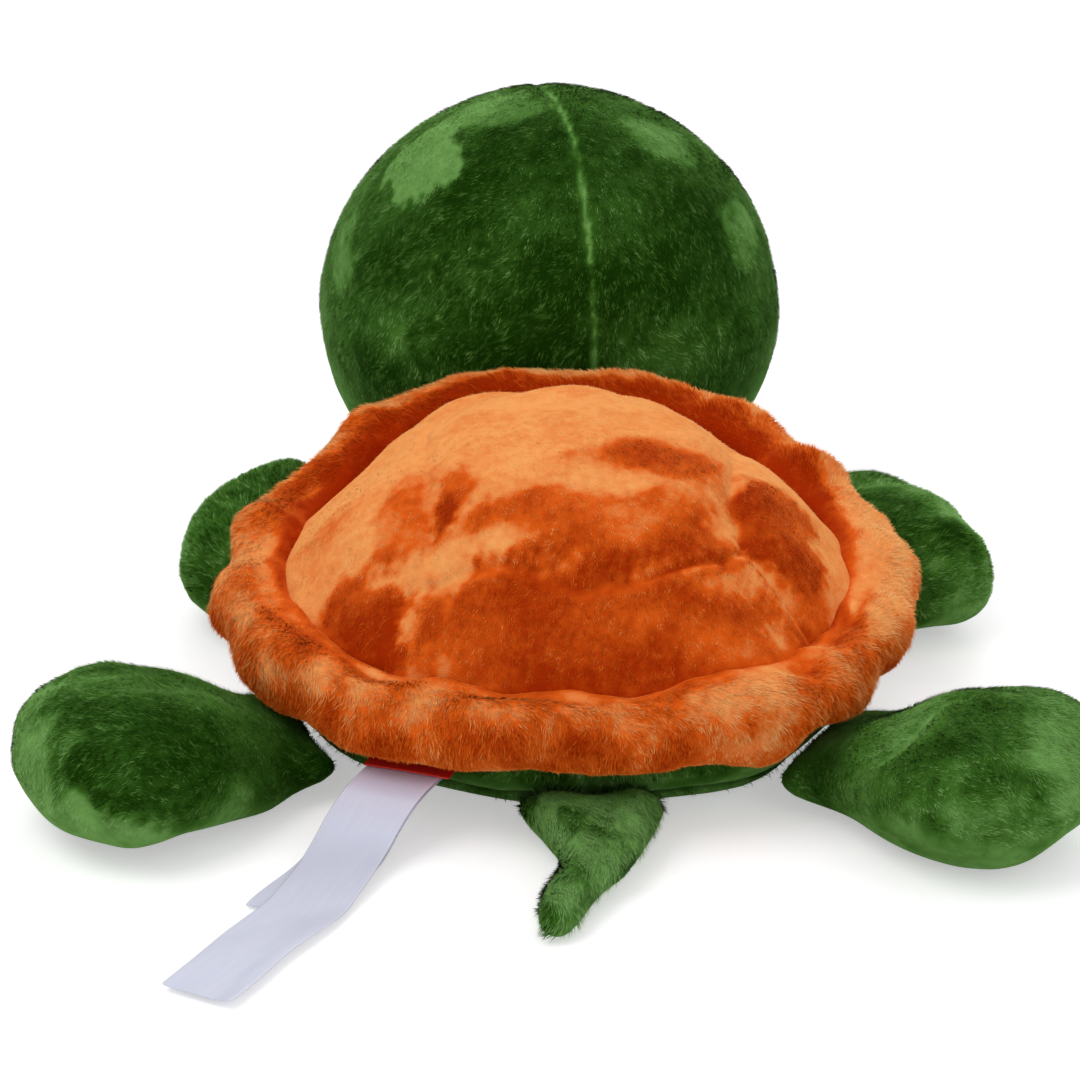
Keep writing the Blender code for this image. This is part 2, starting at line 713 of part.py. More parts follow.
def make_tail(material, body_parts):
    """The tail, which tapers and bends to the turtle's left, and its seat in the body."""
    rings = root_rings(TAIL_ROOT_RADIUS, TAIL_ROOT_HALF_WIDTH, FLIPPER_SIDES, FLIPPER_ROUNDNESS)
    shares = zip(
        TAIL_STATION_SHARES, TAIL_WIDTH_SHARES, TAIL_THICKNESS_SHARES, TAIL_BEND_SHARES, TAIL_SINK_SHARES
    )
    for station, width, thickness, bend, sink in shares:
        half_height = TAIL_ROOT_RADIUS * thickness
        rings.append(
            section(
                TAIL_LENGTH * station, TAIL_ROOT_HALF_WIDTH * width, half_height, FLIPPER_SIDES,
                FLIPPER_ROUNDNESS, side=-TAIL_BEND * bend, up=(half_height - TAIL_HINGE_HEIGHT) * sink,
            )
        )
    stand = tail_stand()
    add_object("tail", loft(pressed_flat(rings, TAIL_HINGE_HEIGHT)), material, stand)
    cutter = seat_cutter("tail_cutter", TAIL_ROOT_RADIUS, TAIL_ROOT_HALF_WIDTH, stand)
    for piece in body_parts:
        cut(piece, cutter)


def label_root():
    """The middle of the seam that holds the label."""
    distance = body_edge(LABEL_ANGLE) + LABEL_ROOT_GAP
    return place(LABEL_ANGLE, distance, LABEL_HINGE_HEIGHT)


def make_leaf(name, material, layer, stations):
    """A ribbon leaf that hangs from the seam and runs out along the surface, layer steps above the lowest."""
    stand = label_root()
    floor = LABEL_FLOOR_GAP - LABEL_HINGE_HEIGHT
    rings = []
    shares = list(zip(LABEL_SIDE_SHARES, LABEL_OUT_SHARES, LABEL_FALL_SHARES))[:stations]
    for side, out, fall in shares:
        heading = LABEL_HEADING + (LABEL_END_HEADING - LABEL_HEADING) * out
        across = place(heading + 90.0, LABEL_HALF_WIDTH)
        middle = Vector((-LABEL_RUN * side, -LABEL_RUN * out, floor * fall + LABEL_LEAF_STEP * layer))
        up = Vector((0.0, 0.0, LABEL_THICKNESS / 2))
        rings.append(
            [middle - across - up, middle + across - up, middle + across + up, middle - across + up]
        )
    return add_object(name, loft(rings), material, Matrix.Translation(stand))


def make_tab(material):
    """The short tab on top of the ribbon leaves, at their seam."""
    low = LABEL_LEAF_STEP + LABEL_THICKNESS / 2 + SEAM_GAP
    rings = []
    for out in (0.0, TAB_LENGTH):
        rings.append(
            [
                Vector((out, -TAB_HALF_WIDTH, low)),
                Vector((out, TAB_HALF_WIDTH, low)),
                Vector((out, TAB_HALF_WIDTH, low + TAB_THICKNESS)),
                Vector((out, -TAB_HALF_WIDTH, low + TAB_THICKNESS)),
            ]
        )
    return add_object("seam_tab", loft(rings), material, standing(label_root(), LABEL_HEADING))


def main():
    """Empties the scene and models the turtle."""
    for thing in list(bpy.data.objects):
        bpy.data.objects.remove(thing)
    green = plush("green_plush", LEAF_GREEN)
    orange = plush("orange_plush", SHELL_ORANGE)
    satin = plush("white_satin", SATIN_WHITE, 0.35)
    red = plush("red_ribbon", TAB_RED, 0.5)
    black = plush("black_plastic", EYE_BLACK, 0.12)
    white = plush("white_plastic", WASHER_WHITE, 0.4)
    cloth = plush("bag_cloth", BAG_CLOTH, 0.85)

    rim, rim_cutter = make_rim(orange)
    make_dome(orange, rim_cutter)
    body = make_body(green)
    belly = make_belly_panel(green)
    cut(body, rim_cutter)
    make_pellet_bag(cloth, body)
    head = make_head(green)
    make_neck(green, (body, belly))
    make_eye("left_eye", -1, black, white, head)
    make_eye("right_eye", 1, black, white, head)
    for flipper in FLIPPERS:
        make_flipper(flipper, green, (body, belly))
    make_tail(green, (body, belly))
    make_leaf("care_ribbon_long", satin, 1, len(LABEL_OUT_SHARES))
    make_leaf("care_ribbon_short", satin, 0, SHORT_LEAF_STATIONS)
    make_tab(red)


if __name__ == "__main__":
    main()
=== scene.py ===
"""Looks of a stuffed plush turtle: brushed pile, seams, satin care label, button eyes, light and camera."""
import json
import logging
import math
from dataclasses import dataclass
from enum import Enum

import bmesh
import bpy
import numpy as np
from mathutils import Matrix, Vector
from mathutils.bvhtree import BVHTree


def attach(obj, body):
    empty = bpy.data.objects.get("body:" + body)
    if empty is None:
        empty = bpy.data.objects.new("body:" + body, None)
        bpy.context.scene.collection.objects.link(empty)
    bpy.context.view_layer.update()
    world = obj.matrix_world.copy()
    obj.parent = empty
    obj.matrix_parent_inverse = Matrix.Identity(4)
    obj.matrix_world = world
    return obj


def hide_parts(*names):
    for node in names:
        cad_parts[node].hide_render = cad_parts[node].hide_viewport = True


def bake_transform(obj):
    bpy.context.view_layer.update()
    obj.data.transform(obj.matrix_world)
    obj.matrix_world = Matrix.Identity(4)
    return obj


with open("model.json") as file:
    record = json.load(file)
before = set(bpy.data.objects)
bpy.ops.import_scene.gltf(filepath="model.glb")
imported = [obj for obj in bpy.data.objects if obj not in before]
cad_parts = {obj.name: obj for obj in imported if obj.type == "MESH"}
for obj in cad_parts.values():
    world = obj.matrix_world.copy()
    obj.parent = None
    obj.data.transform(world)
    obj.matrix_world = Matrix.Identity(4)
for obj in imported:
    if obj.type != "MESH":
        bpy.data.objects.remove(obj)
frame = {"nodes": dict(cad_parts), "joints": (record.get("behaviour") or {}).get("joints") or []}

LOG = logging.getLogger("turtle")
BAKE_MAP = "OFBake"
RIBBON_MAP = "Ribbon"
PILE_DATA = "pile"
HASH_FACTORS = (73856093, 19349663, 83492791)
TABLE_SIZE = 8192

# Lengths are in metres.
FLOOR_CLEARANCE = 0.0003
RIBBON_CLEARANCE = 0.0004
MOST_HAIRS = 62000
HAIR_CORNERS = 3
FULL_DENSITY, QUICK_DENSITY = 0.92, 0.4
FULL_WIDTH, QUICK_WIDTH = 1.36, 2.0

# Pile is left out this deep inside a touching node or a sewn-on skin, or this near to a surface
# that faces it. The search for these surfaces reaches this far and counts so many crossings.
HIDDEN_DEPTH = 0.0030
SEWN_DEPTH = 0.0003
TOUCH_GAP = 0.0004
FACING = -0.85
SEARCH_REACH = 0.03
MOST_CROSSINGS = 40

# The Mix node's sockets for colours.
MIX_SHARE, MIX_FIRST, MIX_SECOND, MIX_RESULT = 0, 6, 7, 2

# The care label's seam: its middle and the way that the ribbon leaves it, in degrees from +X.
LABEL_ROOT = (-0.03666, -0.06349, 0.016)
LABEL_HEADING = 250.6

EYE_AZIMUTH = 43.0
EYE_ELEVATION = 12.0

Colour = tuple[float, float, float]
Place = tuple[float, float, float]
Spot = tuple[float, float]


class Body(str, Enum):
    """The bodies that pieces ride on."""

    TORSO = "torso"
    NECK = "neck_block"
    HEAD = "head_ball"
    FRONT_LEFT = "front_left_limb"
    FRONT_RIGHT = "front_right_limb"
    REAR_LEFT = "rear_left_limb"
    REAR_RIGHT = "rear_right_limb"
    TAIL = "tail_limb"
    LABEL = "care_label"


class Slot(str, Enum):
    """The record's material slots."""

    GREEN = "green_plush"
    ORANGE = "orange_plush"
    SATIN = "white_satin"
    RED = "red_ribbon"
    EYE = "black_plastic"
    WASHER = "white_plastic"
    BAG = "bag_cloth"


class Side(Enum):
    """A side of the turtle, as the sign of its own X."""

    LEFT = -1
    RIGHT = 1


# ---------------- helpers


def only(thing: bpy.types.Object) -> None:
    """Selects one object alone and makes it active.

    Args:
        thing: The object to select.
    """
    bpy.ops.object.select_all(action="DESELECT")
    thing.select_set(True)
    bpy.context.view_layer.objects.active = thing


def link_mesh(name: str, mesh: bpy.types.Mesh) -> bpy.types.Object:
    """Puts a mesh in the scene as an object at the origin.

    Args:
        name: The new object's name.
        mesh: Its mesh.

    Returns:
        The new object.
    """
    thing = bpy.data.objects.new(name, mesh)
    bpy.context.scene.collection.objects.link(thing)
    return thing


def points_of(mesh: bpy.types.Mesh) -> np.ndarray:
    """The places of a mesh's points, one row each."""
    flat = np.empty(len(mesh.vertices) * 3)
    mesh.vertices.foreach_get("co", flat)
    return flat.reshape(-1, 3)


def normals_of(mesh: bpy.types.Mesh) -> np.ndarray:
    """The normals of a mesh's points, one row each."""
    flat = np.empty(len(mesh.vertices) * 3, np.float32)
    mesh.vertex_normals.foreach_get("vector", flat)
    return flat.reshape(-1, 3).astype(float)


def move_points(mesh: bpy.types.Mesh, points: np.ndarray) -> None:
    """Writes new places for all of a mesh's points."""
    mesh.vertices.foreach_set("co", np.ascontiguousarray(points, np.float32).ravel())
    mesh.update()


def unit(rows: np.ndarray) -> np.ndarray:
    """Each row at length 1."""
    return rows / np.maximum(np.linalg.norm(rows, axis=1, keepdims=True), 1e-9)


def level_out(points: np.ndarray) -> np.ndarray:
    """The level way outwards from the turtle's middle at each point."""
    return unit(points * (1.0, 1.0, 0.0))


def ramp(values: np.ndarray, low: float, high: float) -> np.ndarray:
    """A soft step from 0 at low to 1 at high."""
    share = np.clip((values - low) / (high - low), 0.0, 1.0)
    return share * share * (3.0 - 2.0 * share)


def bell(values: np.ndarray, middle: float, spread: float) -> np.ndarray:
    """A bell curve that is 1 at its middle."""
    return np.exp(-(((values - middle) / spread) ** 2))


def cell_keys(cells: np.ndarray) -> np.ndarray:
    """One whole number for each cell of a grid in space."""
    first, second, third = HASH_FACTORS
    return (cells[:, 0] * first) ^ (cells[:, 1] * second) ^ (cells[:, 2] * third)


def joint_value(joint: str, field: str) -> Place:
    """A place or direction of one of the frame's joints.

    Args:
        joint: The joint's name.
        field: What is wanted of it, pos_m or axis.

    Returns:
        The three numbers.
    """
    return next(j[field] for j in frame["joints"] if j["name"] == joint)


def hand_over(piece: bpy.types.Object, body: Body, node: str | None = None) -> None:
    """Makes a finished piece ride on its body, in place of its node.

    Args:
        piece: The piece.
        body: The body that it rides on.
        node: The CAD node that it replaces, if any.
    """
    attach(piece, body.value)
    if node:
        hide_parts(node)


def apply_modifier(thing: bpy.types.Object, kind: str, **settings: object) -> None:
    """Adds a modifier with these settings and applies it.

    Args:
        thing: The object that it changes.
        kind: The modifier's type, such as REMESH.
        settings: Its settings by name.
    """
    only(thing)
    step = thing.modifiers.new(kind.lower(), kind)
    for name, value in settings.items():
        setattr(step, name, value)
    bpy.ops.object.modifier_apply(modifier=step.name)


def node_copy(node: str, name: str) -> bpy.types.Object:
    """A free copy of a node of the frame, with its doubled points merged.

    Args:
        node: The node to copy.
        name: The copy's name.

    Returns:
        The copy, with no material.
    """
    thing = link_mesh(name, frame["nodes"][node].data.copy())
    thing.data.materials.clear()
    only(thing)
    bpy.ops.object.mode_set(mode="EDIT")
    bpy.ops.mesh.select_all(action="SELECT")
    bpy.ops.mesh.remove_doubles(threshold=1e-6)
    bpy.ops.mesh.normals_make_consistent(inside=False)
    bpy.ops.object.mode_set(mode="OBJECT")
    return thing


class Waves:
    """A smooth seeded field in space, mostly between -1 and 1."""

    def __init__(self, size: float, seed: int, count: int = 9) -> None:
        """Sets up the waves.

        Args:
            size: The usual distance between two hills, in metres.
            seed: Its seed.
            count: How many waves are added up.
        """
        chance = np.random.default_rng(seed)
        along = unit(chance.normal(size=(count, 3)))
        self.along = along * (2 * math.pi / (size * chance.uniform(0.7, 1.6, (count, 1))))
        self.phase = chance.uniform(0, 2 * math.pi, count)
        self.strength = math.sqrt(2.0 / count) * 0.8

    def at(self, points: np.ndarray) -> np.ndarray:
        """The field's value at each point."""
        return np.sin(points @ self.along.T + self.phase).sum(1) * self.strength


def streaks(points: np.ndarray, way: np.ndarray, length: float, seed: int) -> np.ndarray:
    """Fine random streaks along the way that hairs lie, from 0 to 1.

    Args:
        points: The places.
        way: The streaks' direction at each.
        length: Their length in metres.
        seed: Their seed.

    Returns:
        One value for each place.
    """
    width, contrast = 0.0008, 1.7
    table = np.random.default_rng(seed).random(TABLE_SIZE)
    shares = (-0.5, -0.3, -0.1, 0.1, 0.3, 0.5)
    total = np.zeros(len(points))
    for share in shares:
        cells = np.floor((points + way * (length * share)) / width).astype(np.int64)
        total += table[cell_keys(cells) % TABLE_SIZE]
    return np.clip(0.5 + (total / len(shares) - 0.5) * contrast, 0.0, 1.0)


@dataclass(frozen=True)
class Seam:
    """A sewn line: the cloth dips along it and the pile parts."""

    points: tuple[Place, ...]
    width: float
    flat: bool = False
    strength: float = 1.0

    def offset(self, places: np.ndarray) -> np.ndarray:
        """The way from the nearest point of the line to each place.

        Args:
            places: Places in space. A flat seam is measured as seen from above.

        Returns:
            One row for each place, of two or three numbers.
        """
        line = np.array(self.points)
        keep = 2 if self.flat else 3
        spots, line = places[:, :keep], line[:, :keep]
        best = np.full(spots.shape, np.inf)
        for start, end in zip(line, line[1:]):
            along = end - start
            share = np.clip(((spots - start) @ along) / max(along @ along, 1e-12), 0.0, 1.0)
            off = spots - start - share[:, None] * along
            best = np.where(((off**2).sum(1) < (best**2).sum(1))[:, None], off, best)
        return best

    def closeness(self, places: np.ndarray) -> np.ndarray:
        """How close each place is to the line, from 0 far away to 1 on it."""
        return self.strength * np.exp(-(self.offset(places) ** 2).sum(1) / self.width**2)


class Neighbours:
    """Surfaces that a form touches, where it grows no pile."""

    def __init__(self, meshes: list[bpy.types.Mesh]) -> None:
        """Reads the surfaces."""
        self.trees = []
        for mesh in meshes:
            mesh.calc_loop_triangles()
            corners = [tuple(t.vertices) for t in mesh.loop_triangles]
            self.trees.append(BVHTree.FromPolygons([v.co for v in mesh.vertices], corners))

    def covered(self, points: np.ndarray, normals: np.ndarray, depth: float, gap: float) -> np.ndarray:
        """Which points are well inside a neighbour, or face its surface from close by.

        Args:
            points: The places to test.
            normals: The skin's normals there.
            depth: How deep inside counts as covered.
            gap: How near a facing surface counts as covered.

        Returns:
            True or False for each point.
        """
        found = np.zeros(len(points), bool)
        for tree in self.trees:
            for i, point in enumerate(points):
                if found[i]:
                    continue
                spot, normal, _, distance = tree.find_nearest(point, SEARCH_REACH)
                if spot is None:
                    continue
                if distance < gap:
                    found[i] = float(normals[i] @ normal) < FACING
                elif distance > depth:
                    found[i] = self.encloses(tree, Vector(point))
        return found

    def distance(self, points: np.ndarray) -> np.ndarray:
        """How far each point is from the nearest neighbour, up to the reach of the search."""
        far = np.full(len(points), SEARCH_REACH)
        for tree in self.trees:
            near = (tree.find_nearest(point, SEARCH_REACH)[3] for point in points)
            found = (SEARCH_REACH if value is None else value for value in near)
            far = np.minimum(far, np.fromiter(found, float, len(points)))
        return far

    def encloses(self, tree: BVHTree, point: Vector) -> bool:
        """True if the closed surface of the tree goes round the point."""
        way, step, crossed = Vector((0.31, 0.22, 0.925)).normalized(), 1e-5, 0
        for _ in range(MOST_CROSSINGS):
            point, _, _, _ = tree.ray_cast(point, way)
            if point is None:
                break
            crossed += 1
            point = point + way * step
        return crossed % 2 == 1


# ---------------- node trees


class Tree:
    """Adds nodes to a node tree and joins them."""

    def __init__(self, tree: bpy.types.NodeTree) -> None:
        """Keeps the tree."""
        self.tree = tree

    def add(self, kind: str, **settings: object) -> bpy.types.Node:
        """Adds a node.

        Args:
            kind: The node's type.
            settings: Its settings by name.

        Returns:
            The node.
        """
        node = self.tree.nodes.new(kind)
        for name, value in settings.items():
            setattr(node, name, value)
        return node

    def feed(self, socket: bpy.types.NodeSocket, value: object) -> None:
        """Joins an output to a socket, or writes a plain value on it."""
        if isinstance(value, bpy.types.NodeSocket):
            self.tree.links.new(value, socket)
        else:
            socket.default_value = value

    def math(
        self, operation: str, first: object, second: object = 0.0, clamp: bool = False,
    ) -> bpy.types.NodeSocket:
        """The result of a sum on two values.

        Args:
            operation: The Math node's operation.
            first: A value or an output.
            second: A value or an output.
            clamp: True keeps the result from 0 to 1.

        Returns:
            The output socket.
        """
        node = self.add("ShaderNodeMath", operation=operation, use_clamp=clamp)
        self.feed(node.inputs[0], first)
        self.feed(node.inputs[1], second)
        return node.outputs[0]

    def mix(self, share: object, first: object, second: object, blend: str = "MIX") -> bpy.types.NodeSocket:
        """Two colours mixed.

        Args:
            share: How much of the second, a value or an output.
            first: A colour or an output.
            second: A colour or an output.
            blend: The way they are mixed.

        Returns:
            The output socket.
        """
        node = self.add("ShaderNodeMix", data_type="RGBA", blend_type=blend)
        self.feed(node.inputs[MIX_SHARE], share)
        self.feed(node.inputs[MIX_FIRST], first)
        self.feed(node.inputs[MIX_SECOND], second)
        return node.outputs[MIX_RESULT]

    def noise(
        self, place: object, scale: float, detail: float = 2.0, distortion: float = 0.0,
    ) -> bpy.types.NodeSocket:
        """A noise texture's value.

        Args:
            place: The output that gives the place.
            scale: Its scale, in hills to the metre.
            detail: Its detail.
            distortion: Its distortion.

        Returns:
            The output socket.
        """
        node = self.add("ShaderNodeTexNoise")
        self.feed(node.inputs["Vector"], place)
        self.feed(node.inputs["Scale"], scale)
        self.feed(node.inputs["Detail"], detail)
        self.feed(node.inputs["Distortion"], distortion)
        return node.outputs["Fac"]

    def split(self, vector: bpy.types.NodeSocket) -> bpy.types.NodeOutputs:
        """The three values of a vector."""
        node = self.add("ShaderNodeSeparateXYZ")
        self.feed(node.inputs[0], vector)
        return node.outputs

    def vector_math(
        self, operation: str, first: object, second: object = None, scale: object = None,
    ) -> bpy.types.NodeSocket:
        """The result of a sum on vectors.

        Args:
            operation: The Vector Math node's operation.
            first: The first vector's output.
            second: The second vector's output, where there is one.
            scale: The factor, where the vector is scaled.

        Returns:
            The output socket.
        """
        node = self.add("ShaderNodeVectorMath", operation=operation)
        self.feed(node.inputs[0], first)
        if second is not None:
            self.feed(node.inputs[1], second)
        if scale is not None:
            self.feed(node.inputs["Scale"], scale)
        return node.outputs[0]

    def own_place(self) -> bpy.types.NodeSocket:
        """Each point's place on its own object."""
        return self.add("ShaderNodeTexCoord").outputs["Object"]

    def span(
        self, value: object, low: float, high: float, new_low: object = 0.0, new_high: object = 1.0,
    ) -> bpy.types.NodeSocket:
        """A value moved from one range to another, and kept inside it.

        Args:
            value: The value's output.
            low: The old range's start.
            high: The old range's end.
            new_low: The new range's start.
            new_high: The new range's end.

        Returns:
            The output socket.
        """
        node = self.add("ShaderNodeMapRange")
        for socket, given in zip(node.inputs, (value, low, high, new_low, new_high)):
            self.feed(socket, given)
        return node.outputs["Result"]


def new_group(
    name: str, takes: dict[str, tuple[str, object]], gives: dict[str, str],
) -> tuple[Tree, bpy.types.NodeOutputs, bpy.types.NodeInputs]:
    """An empty shader node group.

    Args:
        name: Its name.
        takes: Its inputs, each with its socket type and default value.
        gives: Its outputs, each with its socket type.

    Returns:
        Its tree, the values that it takes and the sockets for those that it gives.
    """
    group = bpy.data.node_groups.new(name, "ShaderNodeTree")
    for label, (kind, value) in takes.items():
        socket = group.interface.new_socket(label, in_out="INPUT", socket_type=kind)
        if value is not None:
            socket.default_value = value
    for label, kind in gives.items():
        group.interface.new_socket(label, in_out="OUTPUT", socket_type=kind)
    tree = Tree(group)
    return tree, tree.add("NodeGroupInput").outputs, tree.add("NodeGroupOutput").inputs


def pile_colour_group() -> bpy.types.ShaderNodeTree:
    """The colour of pile: dark and light nap in patches, as painted shade and painted sheen, painted shade
    deeper at the roots and painted light at the tips, with single lighter hairs.

    Returns:
        The node group.
    """
    takes: dict[str, tuple[str, object]] = {"Place": ("NodeSocketVector", None)}
    for label, grey in (("Dark", 0.1), ("Middle", 0.3), ("Light", 0.5), ("Root", 0.5)):
        takes[label] = ("NodeSocketColor", (grey, grey, grey, 1))
    for label in ("Nap", "Height", "Hair", "Contrast"):
        takes[label] = ("NodeSocketFloat", 0.5)
    tree, given, made = new_group("PileColour", takes, {"Colour": "NodeSocketColor"})
    broad = tree.noise(given["Place"], scale=62.0, distortion=0.6)
    tufts = tree.noise(given["Place"], scale=330.0, detail=3.0, distortion=0.3)
    hair = tree.math("SUBTRACT", tree.math("POWER", given["Hair"], 1.2), 0.45)
    # Painted light at the tips and painted shade at the roots: the share rises with height in the pile.
    raised = tree.math("MULTIPLY", tree.math("SUBTRACT", given["Height"], 0.55), 0.35)
    calm = tree.math("MULTIPLY", tree.span(given["Nap"], 0.45, 0.95, 1.0, 0.4), given["Contrast"])
    share = given["Nap"]
    for value, weight in (
        (tree.span(broad, 0.34, 0.66, -0.5, 0.5), 0.14),
        (tree.span(tufts, 0.3, 0.7, -0.5, 0.5), 0.20),
        (tree.math("ADD", hair, raised), calm),
    ):
        share = tree.math("ADD", share, tree.math("MULTIPLY", value, weight))
    # The dark and light nap colours are the lay's painted shade and painted sheen.
    colour = tree.mix(tree.span(share, 0.0, 0.5), given["Dark"], given["Middle"])
    colour = tree.mix(tree.span(share, 0.5, 1.0), colour, given["Light"])
    # Painted shade deep in the pile: the colour is multiplied by the root colour at the roots, fading to none
    # at the tips.
    painted_root_shade = tree.mix(given["Height"], given["Root"], (1.0, 1.0, 1.0, 1.0))
    tree.feed(made["Colour"], tree.mix(1.0, colour, painted_root_shade, "MULTIPLY"))
    return tree.tree


def weave_group() -> bpy.types.ShaderNodeTree:
    """The relief of woven ribbon: fine threads along it and across it, and a slightly uneven sheen.

    Returns:
        The node group.
    """
    tree, given, made = new_group(
        "RibbonWeave",
        {
            "Place": ("NodeSocketVector", None),
            "Across": ("NodeSocketFloat", 60.0),
            "Along": ("NodeSocketFloat", 90.0),
            "Unevenness": ("NodeSocketFloat", 0.2),
        },
        {"Height": "NodeSocketFloat", "Streak": "NodeSocketFloat"},
    )
    place = tree.split(given["Place"])
    warp = tree.math("SINE", tree.math("MULTIPLY", place[0], given["Across"]))
    weft = tree.math("SINE", tree.math("MULTIPLY", place[1], given["Along"]))
    height = tree.math("MULTIPLY", warp, 0.6)
    height = tree.math("ADD", height, tree.math("MULTIPLY", tree.math("MULTIPLY", warp, weft), 0.4))
    stretched = tree.add("ShaderNodeMapping")
    tree.feed(stretched.inputs["Vector"], given["Place"])
    stretched.inputs["Scale"].default_value = (900.0, 60.0, 1.0)
    streak = tree.span(tree.noise(stretched.outputs[0], scale=1.0), 0.3, 0.7)
    height = tree.math("ADD", height, tree.math("MULTIPLY", streak, given["Unevenness"]))
    tree.feed(made["Height"], height)
    tree.feed(made["Streak"], streak)
    return tree.tree


def wear_group() -> bpy.types.ShaderNodeTree:
    """Faint uneven gloss of moulded plastic, with fine scuffs.

    Returns:
        The node group.
    """
    tree, given, made = new_group(
        "PlasticWear",
        {
            "Place": ("NodeSocketVector", None),
            "Low": ("NodeSocketFloat", 0.1),
            "High": ("NodeSocketFloat", 0.3),
        },
        {"Roughness": "NodeSocketFloat", "Height": "NodeSocketFloat"},
    )
    cloud = tree.noise(given["Place"], scale=400.0, detail=3.0)
    scuff = tree.add("ShaderNodeTexVoronoi", feature="DISTANCE_TO_EDGE")
    tree.feed(scuff.inputs["Vector"], given["Place"])
    scuff.inputs["Scale"].default_value = 700.0
    fine = tree.span(scuff.outputs["Distance"], 0.0, 0.04, 1.0, 0.0)
    share = tree.math("ADD", tree.math("MULTIPLY", cloud, 0.7), tree.math("MULTIPLY", fine, 0.3), clamp=True)
    tree.feed(made["Roughness"], tree.span(share, 0.0, 1.0, given["Low"], given["High"]))
    tree.feed(made["Height"], fine)
    return tree.tree


class Finish:
    """A finish that makes its material once and dresses pieces with it."""

    name: str

    def blank(self, part: str = "") -> tuple[bpy.types.Material, Tree, bpy.types.Node]:
        """A new material with its Principled shader.

        Args:
            part: A word added to the material's name.

        Returns:
            The material, its tree and its shader.
        """
        material = bpy.data.materials.new(self.name + part)
        material.use_nodes = True
        return material, Tree(material.node_tree), material.node_tree.nodes["Principled BSDF"]

    def set_plain(self, shader: bpy.types.Node, **values: float | Colour) -> None:
        """Writes plain values on the shader's own sockets, by their names with underscores for spaces."""
        for name, value in values.items():
            socket = shader.inputs[name.replace("_", " ")]
            socket.default_value = (*value, 1.0) if isinstance(value, tuple) else value

    def bump(
        self, tree: Tree, shader: bpy.types.Node, height: bpy.types.NodeSocket,
        strength: float, distance: float,
    ) -> None:
        """Feeds a height through a Bump node into the shader's normal.

        Args:
            tree: The material's tree.
            shader: Its shader.
            height: The height's output.
            strength: The bump's strength.
            distance: Its depth in metres.
        """
        bump = tree.add("ShaderNodeBump")
        bump.inputs["Strength"].default_value = strength
        bump.inputs["Distance"].default_value = distance
        tree.feed(bump.inputs["Height"], height)
        tree.feed(shader.inputs["Normal"], bump.outputs["Normal"])


